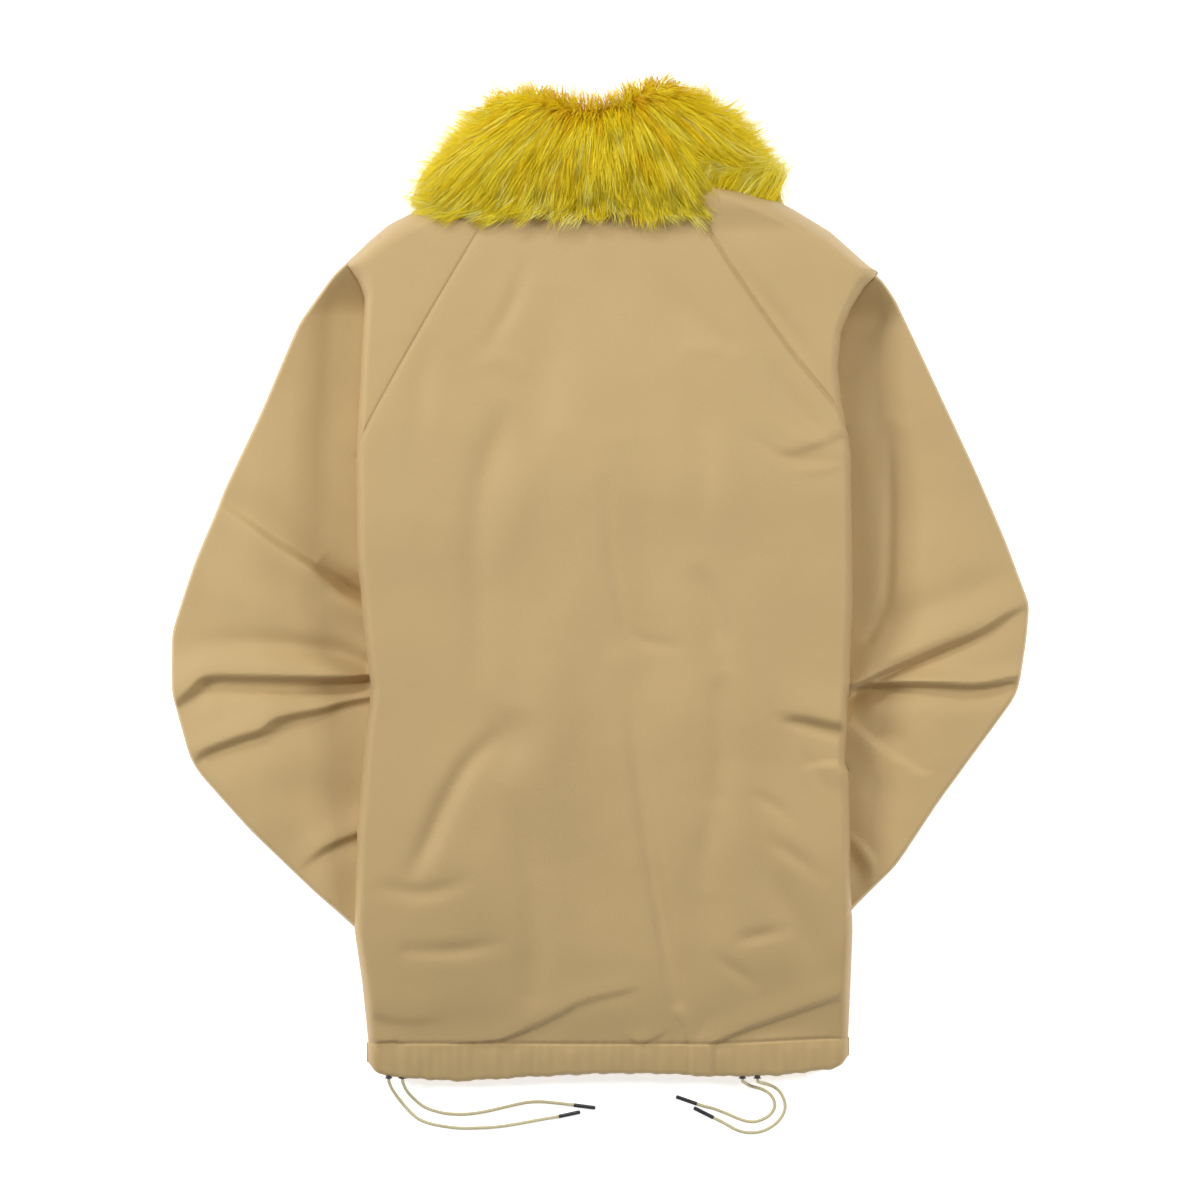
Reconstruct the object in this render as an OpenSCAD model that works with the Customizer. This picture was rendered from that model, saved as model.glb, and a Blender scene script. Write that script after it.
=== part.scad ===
// Raglan coach jacket with a long-pile collar, lying face down with bent sleeves.
// +Z up, +Y towards the collar, millimetres. Origin at the bottom centre of the jacket.

/* [Body] */
// Half the width between the two side folds
body_hw = 213; // [200:1:214]
// Thickness of the outer cloth as it is modelled
cloth_t = 1.2; // [0.8:0.1:1.6]
// Thickness of the lining as it is modelled
lining_t = 0.6; // [0.4:0.1:0.8]
// Height of the stuffed-out back above the table
back_h = 92; // [84:1:96]

/* [Sleeves] */
// Length of the forearm from the elbow to the cuff edge
forearm_l = 300; // [280:1:305]
// Flat width of the cuff
cuff_w = 116; // [100:1:124]
// Height of the upper sleeve above the table
sleeve_h = 64; // [54:1:68]

/* [Front] */
// Number of snap fasteners down the front
snap_n = 5; // [3:1:6]
// Radius of a snap cap
snap_r = 7.5; // [6:0.5:8]
// Length of a pocket mouth
pocket_l = 140; // [110:1:150]

/* [Hem] */
// Height of the hem casing
hem_h = 30; // [26:1:32]
// Diameter of the drawcord
cord_d = 3; // [2.5:0.1:3.2]
// Length of an aglet
aglet_l = 19; // [15:1:21]

/* [Hidden] */
khaki = [0.78, 0.67, 0.47];
lining_c = [0.55, 0.47, 0.33];
fur_c = [0.86, 0.74, 0.12];
cream = [0.87, 0.83, 0.70];
metal = [0.28, 0.28, 0.30];
top_y = 317.5;            // neck edge of the shell
hem_y = -431.5;           // lower edge of the hem
stitch_y = hem_y + hem_h; // stitch line of the casing
shoulder = [-215, 235];   // left shoulder turning point
shoulder_r = 62;
elbow = [-298, -90];      // left elbow turning point
elbow_r = 74;
fore_a = -52;             // direction of the left forearm, degrees from +X
fd = [cos(fore_a), sin(fore_a)];
fn = [sin(fore_a), -cos(fore_a)];
neck_z = 47;
roll = [412, 86];         // y and z of the collar's roll line

function mix(a, b, t) = a + (b - a) * t;
function clip(x, a, b) = min(b, max(a, x));
function soft(a, b, x) = let (t = clip((x - a) / (b - a), 0, 1)) t * t * (3 - 2 * t);
function quarter(d, r) = let (t = clip(d / r, 0, 1)) sqrt(1 - (1 - t) * (1 - t));

// side outline of the shoulders above the armpit
function outline(y) = lookup(y, [[108, 310], [145, 296], [205, 269], [226, 261], [250, 245],
    [276, 222], [300, 195], [318, 168]]);
// raglan seam, half-width of the back panel
function seam(y) = y < 108 ? body_hw : lookup(y, [[108, body_hw], [180, 170], [318, 92]]);
// outer edge of the yoke: side fold, then the shoulder's arc, then the outline
function yoke_edge(y) = lookup(y, [[108, body_hw], [173, body_hw], [175, 222], [180, 241], [190, 256],
    [205, 267.5], [226, 261], [250, 245], [276, 222], [300, 195], [318, 168]]);
function crown(y) = lookup(y, [[-432, 23], [-400, 24], [-392, 36], [-374, 57], [-330, 70],
    [-250, back_h - 8], [0, back_h], [200, back_h], [318, back_h - 4]]);
function side_z(y) = lookup(y, [[-432, 12], [-400, 13], [-385, 36], [-374, 50], [-340, 53], [108, 53], [318, 44]]);
function edge_d(x, y) = max(0, min(body_hw - abs(x) + max(0, y - 108) * 3, outline(y) - abs(x) + (y < 108 ? 200 : 0)));
function top_z(x, y) = side_z(y) + (crown(y) - side_z(y)) * quarter(edge_d(x, y), 45);
// room beneath the fronts for the folded forearms and their swing
function tunnel(x, y) = let (px = -abs(x),
        e1 = -((px - elbow[0]) * fn[0] + (y - elbow[1]) * fn[1]) * -1 + elbow_r,
        e2 = forearm_l + 9 - norm([px - elbow[0], y - elbow[1]]))
    44 * soft(-45, -20, e1) * soft(-30, -6, e2) * soft(-394, -374, y) * soft(20, 50, abs(x));
function low_z(x, y) = let (b = 1.8 + tunnel(x, y)) b + (side_z(y) - b) * (1 - quarter(edge_d(x, y), 45));
// the right front lies over the left one at the placket
function low_r(x, y) = low_z(x, y) + 3.6 * (1 - soft(16, 60, x));

// closed sheet between an outer grid A and an inner grid B
module sheet(A, B, wrap = false, turn = false) {
    nj = len(A);
    ni = len(A[0]);
    n = nj * ni;
    ie = wrap ? ni : ni - 1;
    q = concat(
        [for (j = [0:nj - 2], i = [0:ie - 1]) let (a = j * ni + i, b = j * ni + (i + 1) % ni, c = b + ni, d = a + ni)
            each [[a, b, c], [a, c, d]]],
        [for (j = [0:nj - 2], i = [0:ie - 1]) let (a = j * ni + i + n, b = j * ni + (i + 1) % ni + n, c = b + ni, d = a + ni)
            each [[c, b, a], [d, c, a]]],
        [for (i = [0:ie - 1]) let (a = i, b = (i + 1) % ni) each [[b, a, a + n], [b, a + n, b + n]]],
        [for (i = [0:ie - 1]) let (a = (nj - 1) * ni + i, b = (nj - 1) * ni + (i + 1) % ni)
            each [[a, b, b + n], [a, b + n, a + n]]],
        wrap ? [] : [for (j = [0:nj - 2]) let (a = j * ni, d = a + ni) each [[a, d, d + n], [a, d + n, a + n]]],
        wrap ? [] : [for (j = [0:nj - 2]) let (a = j * ni + ni - 1, d = a + ni) each [[d, a, a + n], [d, a + n, d + n]]]);
    polyhedron([for (r = A) each r, for (r = B) each r],
        turn ? [for (f = q) [f[2], f[1], f[0]]] : q, convexity = 12);
}

YS = [-401, -391, -381, -372, -340, -305, -265, -220, -170, -120, -70, -20, 40, 108, 140, 180, 220, 260, 295, top_y];
US = [-1, -0.97, -0.9, -0.8, -0.65, -0.45, -0.2, 0, 0.2, 0.45, 0.65, 0.8, 0.9, 0.97, 1];
HS = [0, 0.07, 0.16, 0.25, 0.35, 0.46, 0.57, 0.68, 0.8, 0.9, 0.96, 1];

module back_panel() {
    A = [for (y = YS) [for (u = US) let (x = u * (seam(y) - 0.8)) [x, y, top_z(x, y)]]];
    B = [for (y = YS) [for (u = US) let (x = u * (seam(y) - 0.8)) [x, y, top_z(x, y) - cloth_t]]];
    color(khaki) sheet(A, B);
}
module back_lining() {
    // inset and lowered, so that it follows the shell from inside
    g = cloth_t + 0.8;
    function pt(u, y, d) = [u * (seam(y) - 7), y, top_z(u * (seam(y) - 0.8), y) - g - d];
    color(lining_c) sheet([for (y = YS) [for (u = US) pt(u, y, 0)]], [for (y = YS) [for (u = US) pt(u, y, lining_t)]]);
}
YY = [114, 140, 160, 172, 176, 182, 192, 205, 226, 250, 276, 300, top_y];
VS = [0, 0.25, 0.5, 0.75, 0.9, 1];
function yoke_x(y, v) = mix(-seam(y) - 0.2, -yoke_edge(y) + 0.4 - 0.6 * (1 - v), v);
module yoke_back() {
    A = [for (y = YY) [for (v = VS) let (x = yoke_x(y, v)) [x, y, top_z(x, y)]]];
    sheet(A, [for (r = A) [for (p = r) p - [0, 0, cloth_t]]], false, true);
}
module yoke_front() {
    C = [for (y = YY) [for (v = VS) let (x = yoke_x(y, v)) [x, y, low_z(x, y)]]];
    sheet([for (r = C) [for (p = r) p + [0, 0, cloth_t * 0.9]]], C, false, true);
}
module left_yoke_back() { color(khaki) yoke_back(); }
module left_yoke_front() { color(khaki) yoke_front(); }
module right_yoke_back() { color(khaki) mirror([1, 0, 0]) yoke_back(); }
module right_yoke_front() { color(khaki) mirror([1, 0, 0]) yoke_front(); }

// front panels from the placket to the side seam
module front(s, over, d0, d1, inset) {
    xi = s < 0 ? 16 : -16;
    function zf(x, y) = over ? low_r(x, y) : low_z(x, y);
    // room for the pocket bag between the shell and the lining
    function bag(x, y) = 11 * soft(34, 44, abs(x)) * (1 - soft(139, 150, abs(x))) * soft(-84, -73, y) * (1 - soft(106, 117, y));
    function pt(h, y, d) = let (x = mix(xi, s * (seam(y) - inset), h), xs = mix(xi, s * (seam(y) - 0.8), h))
        [x, y, zf(xs, y) + (d0 > 0.1 ? d * mix(1, 0.34, soft(0.7, 1, h)) + bag(x, y) : d)];
    sheet([for (y = YS) [for (h = HS) pt(h, y, d1)]], [for (y = YS) [for (h = HS) pt(h, y, d0)]], false, s < 0);
}
module snaps_at() { for (i = [0:snap_n - 1]) translate([0, -370 + i * 640 / (snap_n - 1), 0]) children(); }
module pocket_cut(s) { translate([s * 130 - 4, -40, -2]) cube([8, pocket_l, 12]); }
module left_front() {
    color(khaki) difference() {
        front(-1, false, 0, cloth_t, 0.8);
        snaps_at() cylinder(r = 2.4, h = 12, $fn = 24, center = true);
        pocket_cut(-1);
    }
}
module right_front() {
    color(khaki) difference() {
        front(1, true, 0, cloth_t, 0.8);
        snaps_at() cylinder(r = 2.4, h = 24, $fn = 24, center = true);
        pocket_cut(1);
    }
}
module left_front_lining() {
    color(lining_c) difference() {
        front(-1, false, cloth_t + 6.6, cloth_t + 6.6 + lining_t, 13);
        translate([-34, -500, -5]) cube([100, 1000, 40]);
    }
}
module right_front_lining() {
    color(lining_c) difference() {
        front(1, true, cloth_t + 6.6, cloth_t + 6.6 + lining_t, 13);
        translate([-66, -500, -5]) cube([100, 1000, 40]);
    }
}

// hem casings: flat tubes that the drawcord runs in
module casing(x0, x1, n, zo, th) {
    function ring(x, m) = let (a = hem_y + m, b = stitch_y - 0.6 - m)
        [[x, a, zo(x, a) + m], [x, (a + b) / 2, zo(x, (a + b) / 2) + m], [x, b, zo(x, b) + m],
         [x, b, zo(x, b) + th - m], [x, (a + b) / 2, zo(x, (a + b) / 2) + th - m], [x, a, zo(x, a) + th - m]];
    sheet([for (k = [0:n]) ring(mix(x0, x1, k / n), 0)], [for (k = [0:n]) ring(mix(x0, x1, k / n), 1.2)], true, false);
}
EXITS = [-184, -172, 124, 137];
module hem_casing_back() {
    color(khaki) difference() {
        casing(-196, 196, 24, function (x, y) top_z(x, y) - 7, 7);
        for (x = EXITS) translate([x, hem_y - 1, top_z(x, hem_y) - 3.5]) rotate([-90, 0, 0]) cylinder(r = 2.9, h = 4, $fn = 32);
    }
}
module hem_casing_left() { color(khaki) casing(-196, -34, 12, function (x, y) low_z(x, y), 5); }
module hem_casing_right() { color(khaki) casing(34, 196, 12, function (x, y) low_r(x, y), 5); }
module hem_eyelets() {
    color(metal) for (x = EXITS) translate([x, hem_y, top_z(x, hem_y) - 3.5]) rotate([-90, 0, 0]) difference() {
        union() {
            translate([0, 0, -0.8]) cylinder(r = 3.4, h = 0.7, $fn = 40);
            translate([0, 0, -0.2]) cylinder(r = 2.6, h = 2.2, $fn = 40);
        }
        translate([0, 0, -2]) cylinder(r = 2.1, h = 6, $fn = 40);
    }
}

// round tube through a list of points
function unit(v) = v / max(norm(v), 1e-6);
function dir(P, i) = unit(P[min(i + 1, len(P) - 1)] - P[max(i - 1, 0)]);
module tube(P, r, n = 8) {
    R = [for (i = [0:len(P) - 1]) let (t = dir(P, i), s = unit(cross(t, abs(t[2]) > 0.8 ? [1, 0, 0] : [0, 0, 1])), u = cross(s, t))
        [for (k = [0:n - 1]) P[i] + r * (cos(k * 360 / n + 22.5) * s + sin(k * 360 / n + 22.5) * u)]];
    m = len(R);
    polyhedron([for (g = R) each g], concat(
        [for (j = [0:m - 2], k = [0:n - 1]) let (a = j * n + k, b = j * n + (k + 1) % n) each [[a, b + n, b], [a, a + n, b + n]]],
        [[for (k = [0:n - 1]) k]], [[for (k = [n - 1:-1:0]) (m - 1) * n + k]]), convexity = 8);
}
module hem_drawcord() {
    color(cream) tube([for (x = [-158:17:114]) [x, hem_y + 14, top_z(x, hem_y + 14) - 3.5]], cord_d / 2 - 0.2);
}
module front_drawcords() {
    color(cream) for (s = [-1, 1])
        tube([for (k = [0:9]) let (x = s * (40 + k * 16.5)) [x, hem_y + 14, (s < 0 ? low_z(x, hem_y + 14) : low_r(x, hem_y + 14)) + 2.5]], 1.2);
}

// placket and snaps
module placket_facing() {
    A = [for (y = YS) [for (x = [-14, 0, 14]) [x, y, low_z(x, y) + 1.8]]];
    B = [for (y = YS) [for (x = [-14, 0, 14]) [x, y, low_z(x, y) + 1.4]]];
    color(khaki) difference() {
        sheet(A, B);
        snaps_at() cylinder(r = 2.4, h = 24, $fn = 24, center = true);
    }
}
module snap_caps() {
    color(metal) snaps_at() {
        cylinder(r1 = snap_r - 1, r2 = snap_r, h = 0.6, $fn = 48);
        translate([0, 0, 0.6]) cylinder(r = snap_r, h = 1, $fn = 48);
    }
}
module snap_posts() { color(metal) snaps_at() translate([0, 0, 1.6]) cylinder(r = 1.8, h = 2.1, $fn = 24); }
module snap_sockets() {
    color(metal) snaps_at() translate([0, 0, 3.7]) difference() {
        cylinder(r = 5.6, h = 1.2, $fn = 40);
        translate([0, 0, 0.2]) cylinder(r = 1.5, h = 3, $fn = 24);
    }
}
module snap_studs() {
    color(metal) snaps_at() {
        translate([0, 0, 4.1]) cylinder(r = 1.2, h = 2.7, $fn = 24);
        translate([0, 0, 6.8]) cylinder(r = 5.6, h = 0.8, $fn = 40);
    }
}
module welt(s) { translate([s > 0 ? 106 : -125.6, -44, 0.2]) cube([19.6, pocket_l + 8, 1.4]); }
module left_pocket_welt() { color(khaki) welt(-1); }
module right_pocket_welt() { color(khaki) welt(1); }
module pocket_bag(s) {
    translate([s > 0 ? 54 : -137, 0, 0]) difference() {
        translate([0, -70, 3.7]) cube([83, 174, 7]);
        translate([0.8, -69.2, 4.5]) cube([81.4, 172.4, 5.4]);
        translate([s > 0 ? 72 : 3, -40, 3]) cube([8, pocket_l, 2]);
    }
}
module left_pocket_bag() { color(lining_c) pocket_bag(-1); }
module right_pocket_bag() { color(lining_c) pocket_bag(1); }

// collar
function oval(a, b, p, y) = [a * cos(p), y, neck_z + b * sin(p)];
module collar_stand() {
    P = [for (k = [0:26]) -70 + k * 320 / 26];
    color(khaki) sheet([for (y = [318.5, 340, 360, 378]) [for (p = P) oval(88, 41, p, y)]],
        [for (y = [318.5, 340, 360, 378]) [for (p = P) oval(86, 39, p, y)]], false, false);
}
LY = [319, 340, 365, 390, 404];
module undercollar_back() {
    X = [for (k = [0:8]) -59 + k * 118 / 8];
    function z(x, r) = neck_z + (41 + r) * sqrt(1 - pow(x / 104, 2));
    color(khaki) sheet([for (y = LY) [for (x = X) [x, y, z(x, 4.5)]]], [for (y = LY) [for (x = X) [x, y, z(x, 3)]]], false, false);
}
module fur_back() {
    X = [for (k = [0:8]) -59 + k * 118 / 8];
    function z(x, r) = neck_z + (41 + r) * sqrt(1 - pow(x / 104, 2));
    O = [[318.6, 12], [335, 17], [370, 19], [400, 18], [420, 12], [429, 2], [432.3, -10]];
    I = [[318.6, 5], [335, 5], [370, 5], [404, 5], [409, -4], [413, -12], [418, -20]];
    color(fur_c) sheet([for (o = O) [for (x = X) [x, o[0], z(x, o[1])]]], [for (o = I) [for (x = X) [x, o[0], z(x, o[1])]]], false, false);
}
module side_ring(rows) {
    // rows of [y, outer a, outer b, outer z, inner a, inner b, inner z], swept from the back to the front
    function pt(a, b, zc, y, k) = let (p0 = acos(60.5 / a), p = mix(p0, -72, k / 14)) [a * cos(p), y, zc + b * sin(p)];
    sheet([for (r = rows) [for (k = [0:14]) pt(r[1], r[2], r[3], r[0], k)]],
        [for (r = rows) [for (k = [0:14]) pt(r[4], r[5], r[6], r[0], k)]], false, true);
}
module undercollar_sides() {
    rows = [for (y = LY) [y, 93.5, 45, neck_z, 92, 43.5, neck_z]];
    color(khaki) { side_ring(rows); mirror([1, 0, 0]) side_ring(rows); }
}
FUR = [[318.6, 158, 50, 50, 95, 46.2, neck_z], [340, 162, 51, 51, 95, 46.2, neck_z], [370, 144, 51, 51, 95, 46.2, neck_z],
    [392, 124, 50, 50, 95, 46.2, neck_z], [406, 113, 47, 50, 95, 46.2, neck_z], [424, 90, 38, 49, 82, 34, neck_z]];
module fur_right() { color(fur_c) side_ring(FUR); }
module fur_left() { color(fur_c) mirror([1, 0, 0]) side_ring(FUR); }
module hang_loop() {
    color(khaki) translate([0, 322, 83.2]) difference() {
        rotate([90, 0, 0]) translate([0, -3, -6]) linear_extrude(height = 6) difference() {
            polygon([[-32, 0], [32, 0], [28, -7], [-28, -7]]);
            polygon([[-30, -1.2], [30, -1.2], [26, -5.8], [-26, -5.8]]);
        }
    }
}
module size_label() { color(cream) translate([-22, 284, 84.9]) cube([44, 28, 0.7]); }

// sleeves, built on the left side
function sleeve_top(x) = mix(sleeve_h, 34, soft(-285, -226, x));
function upper_pt(s, t) = let (a = -90 - 61 * s, b = 35 + 120 * s,
        p = shoulder + shoulder_r * [cos(a), sin(a)], q = elbow + (elbow_r + 3) * [cos(b), sin(b)],
        m = mix(p, q, t)) [m[0] - 14 * sin(180 * t) * s + (s < 0.5 ? -1.5 : 0), m[1]];
function fore_pt(s, t) = let (w = mix(0.97 * elbow_r, cuff_w / 2, t),
        a0 = -elbow_r * sqrt(1 - pow(0.97 * s, 2)), a = mix(a0, forearm_l, t))
    elbow + a * fd + w * s * fn;
SS = [0, 0.04, 0.12, 0.28, 0.5, 0.72, 0.88, 0.96, 1];
// one ring of a flattened sleeve, moved in by m
function ring_pts(m, w, f, h) = concat(
    [for (s = SS) let (u = mix(m / w, 1 - m / w, s), p = f(u), e = quarter(min(s, 1 - s) * w, 26), hh = h(p))
        [p[0], p[1], hh * 0.42 + (hh * 0.58 - m) * e]],
    [for (k = [7:-1:1]) let (s = SS[k], u = mix(m / w, 1 - m / w, s), p = f(u), e = quarter(min(s, 1 - s) * w, 26), hh = h(p))
        [p[0], p[1], hh * 0.42 - (hh * 0.42 - m) * e]]);
UT = [0, 0.08, 0.2, 0.35, 0.5, 0.65, 0.8, 0.92, 1];
module upper(m, th) {
    g = function (p) mix(66, sleeve_h, soft(150, 40, p[1]));
    sheet([for (t = UT) ring_pts(m, 110, function (u) upper_pt(u, t), g)],
        [for (t = UT) ring_pts(m + th, 110, function (u) upper_pt(u, t), g)], true, false);
}
module fore(m, th, t0, t1, n = 8) {
    g = function (p) sleeve_top(p[0]);
    T = [for (k = [0:n]) mix(t0, t1, k / n)];
    sheet([for (t = T) ring_pts(m, 130, function (u) fore_pt(u * 2 - 1, t), g)],
        [for (t = T) ring_pts(m + th, 130, function (u) fore_pt(u * 2 - 1, t), g)], true, false);
}
module left_upper_sleeve() { color(khaki) upper(0, cloth_t); }
module right_upper_sleeve() { color(khaki) mirror([1, 0, 0]) upper(0, cloth_t); }
module left_upper_lining() { color(lining_c) upper(cloth_t + 0.8, lining_t); }
module right_upper_lining() { color(lining_c) mirror([1, 0, 0]) upper(cloth_t + 0.8, lining_t); }
module left_forearm() { color(khaki) fore(0, cloth_t, 0, 0.93); }
module right_forearm() { color(khaki) mirror([1, 0, 0]) fore(0, cloth_t, 0, 0.93); }
module left_forearm_lining() { color(lining_c) fore(cloth_t + 0.8, lining_t, 0, 0.93); }
module right_forearm_lining() { color(lining_c) mirror([1, 0, 0]) fore(cloth_t + 0.8, lining_t, 0, 0.93); }
module left_cuff() { color(khaki) fore(0, 1.4, 0.932, 1, 2); }
module right_cuff() { color(khaki) mirror([1, 0, 0]) fore(0, 1.4, 0.932, 1, 2); }
module left_cuff_elastic() { color(cream) fore(2.2, 1.2, 0.94, 0.995, 2); }
module right_cuff_elastic() { color(cream) mirror([1, 0, 0]) fore(2.2, 1.2, 0.94, 0.995, 2); }

// free drawcord ends: height of the cord, out of the eyelet and down to the table
ez = [for (x = EXITS) top_z(x, hem_y) - 3.5];
function drop(n, z0) = n < 1 ? z0 : 1.6 + (z0 - 1.6) * (1 - soft(0, 3.2, n));
A_XY = [[-184, -406], [-184, -432], [-183, -438], [-180, -445], [-173, -455], [-165, -464], [-157, -470], [-145, -474],
    [-125, -477], [-108, -477], [-90, -476], [-70, -473], [-54, -470], [-36, -467]];
B_XY = [[-172, -406], [-172, -432], [-171, -438], [-168, -445], [-161, -453], [-153, -459], [-143, -462.5], [-133, -464.5],
    [-118, -465], [-102, -463], [-84, -459], [-66, -455], [-54, -454], [-40, -455], [-23, -457]];
C_XY = [[124, -406], [124, -432], [126, -436], [132, -440], [141, -443], [148, -447], [152, -453], [152.5, -459],
    [149, -465], [142, -469.5], [134, -471.5], [124, -470], [112, -465], [99, -460], [91, -458], [84.5, -456]];
D_XY = [[137, -406], [137, -432], [139, -436], [145, -438], [152, -441], [157.5, -446], [161, -453], [161.5, -461], [157.5, -469],
    [150.5, -475.5], [141, -480], [130, -481], [120, -479], [108, -472.5], [99, -468]];
function route(P, z0) = [for (i = [0:len(P) - 1]) [P[i][0], P[i][1], i < 2 ? z0 : drop(i - 1, z0)]];
module cord_end(P, z0) { color(cream) tube(route(P, z0), cord_d / 2); }
module aglet(p, q) {
    v = q - p;
    color(metal) translate([p[0], p[1], 1.8]) rotate([0, 90, atan2(v[1], v[0])]) translate([0, 0, 0.1]) {
        cylinder(r = 1.75, h = aglet_l - 0.8, $fn = 32);
        translate([0, 0, aglet_l - 0.8]) cylinder(r = 1.45, h = 0.8, $fn = 32);
    }
}
module cord_end_a() { cord_end(A_XY, ez[0]); }
module cord_end_b() { cord_end(B_XY, ez[1]); }
module cord_end_c() { cord_end(C_XY, ez[2]); }
module cord_end_d() { cord_end(D_XY, ez[3]); }
module aglet_a() { aglet([-36, -467], [-17, -463]); }
module aglet_b() { aglet([-23, -457], [-4, -459.5]); }
module aglet_c() { aglet([84.5, -456], [66, -449.5]); }
module aglet_d() { aglet([99, -468], [82, -459.5]); }

back_panel();
left_yoke_back();
left_yoke_front();
right_yoke_back();
right_yoke_front();
left_front();
right_front();
back_lining();
left_front_lining();
right_front_lining();
hem_casing_back();
hem_casing_left();
hem_casing_right();
hem_eyelets();
hem_drawcord();
front_drawcords();
placket_facing();
snap_caps();
snap_posts();
snap_sockets();
snap_studs();
left_pocket_welt();
right_pocket_welt();
left_pocket_bag();
right_pocket_bag();
collar_stand();
undercollar_sides();
fur_left();
fur_right();
hang_loop();
size_label();
undercollar_back();
fur_back();
left_upper_sleeve();
left_upper_lining();
right_upper_sleeve();
right_upper_lining();
left_forearm();
left_forearm_lining();
left_cuff();
left_cuff_elastic();
right_forearm();
right_forearm_lining();
right_cuff();
right_cuff_elastic();
cord_end_a();
cord_end_b();
cord_end_c();
cord_end_d();
aglet_a();
aglet_b();
aglet_c();
aglet_d();
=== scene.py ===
# Raglan coach jacket with a long-pile collar, lying face down: the looks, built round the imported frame.
import bpy, math
import numpy as np
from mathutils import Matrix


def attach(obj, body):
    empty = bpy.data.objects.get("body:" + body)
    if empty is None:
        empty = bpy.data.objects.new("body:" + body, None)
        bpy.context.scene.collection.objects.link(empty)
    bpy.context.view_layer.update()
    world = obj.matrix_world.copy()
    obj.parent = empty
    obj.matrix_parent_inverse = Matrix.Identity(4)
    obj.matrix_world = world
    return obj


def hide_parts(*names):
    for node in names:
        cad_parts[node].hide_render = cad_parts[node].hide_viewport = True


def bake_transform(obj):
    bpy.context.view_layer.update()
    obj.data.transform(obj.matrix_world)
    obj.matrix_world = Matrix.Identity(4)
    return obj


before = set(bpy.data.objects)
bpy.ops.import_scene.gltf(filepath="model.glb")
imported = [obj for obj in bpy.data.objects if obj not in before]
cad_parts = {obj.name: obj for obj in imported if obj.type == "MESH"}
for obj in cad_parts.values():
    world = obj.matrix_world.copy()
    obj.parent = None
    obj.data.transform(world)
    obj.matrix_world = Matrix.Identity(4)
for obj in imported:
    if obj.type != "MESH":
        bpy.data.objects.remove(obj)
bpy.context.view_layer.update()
scene = bpy.context.scene
K = 0.00087          # one drafting unit of the pattern sheet, in metres
CX, CY = 600.0, 582.0


def W(u, v, z):
    """Pattern-sheet units (u right, v down) and height in mm to metres in the row frame."""
    u, v, z = np.broadcast_arrays(np.asarray(u, float), np.asarray(v, float), np.asarray(z, float))
    return np.stack([(u - CX) * K, (CY - v) * K, z * 0.001], -1)


# ---------------------------------------------------------------- camera and light
cam_data = bpy.data.cameras.new("camera")
cam = bpy.data.objects.new("camera", cam_data)
scene.collection.objects.link(cam)
cam.location = (0.0, -0.0157, 5.0)
cam_data.lens = 171.6
cam_data.sensor_width = 36.0
cam_data.clip_end = 50
scene.camera = cam


def area(name, loc, size, power, color=(1, 1, 1)):
    d = bpy.data.lights.new(name, "AREA")
    d.shape = "RECTANGLE"
    d.size, d.size_y = size
    d.energy = power
    d.color = color
    o = bpy.data.objects.new(name, d)
    scene.collection.objects.link(o)
    o.location = loc
    import mathutils
    o.rotation_euler = (mathutils.Vector((0, 0, 0.04)) - mathutils.Vector(loc)).to_track_quat("-Z", "Y").to_euler()
    return o


area("light_left", (-2.3, 0.4, 1.9), (0.4, 0.9), 46)
area("light_right", (2.3, 0.4, 1.9), (0.4, 0.9), 36)
area("light_top", (-1.0, 2.3, 1.9), (0.9, 0.6), 25)
area("light_mid", (0.15, 1.3, 2.0), (0.6, 0.5), 4.2)
world = bpy.data.worlds.new("world")
scene.world = world
world.use_nodes = True
world.node_tree.nodes["Background"].inputs[0].default_value = (1, 1, 1, 1)
world.node_tree.nodes["Background"].inputs[1].default_value = 0.20
scene.view_settings.view_transform = "Standard"
scene.view_settings.look = "None"


# ---------------------------------------------------------------- materials
def principled(name, color, rough, metal=0.0, sheen=0.0, sheen_rough=0.5, spec=0.4):
    m = bpy.data.materials.new(name)
    m.use_nodes = True
    p = m.node_tree.nodes["Principled BSDF"]
    p.inputs["Base Color"].default_value = (*color, 1)
    p.inputs["Roughness"].default_value = rough
    p.inputs["Metallic"].default_value = metal
    p.inputs["Specular IOR Level"].default_value = spec
    p.inputs["Sheen Weight"].default_value = sheen
    p.inputs["Sheen Roughness"].default_value = sheen_rough
    return m, p


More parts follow.
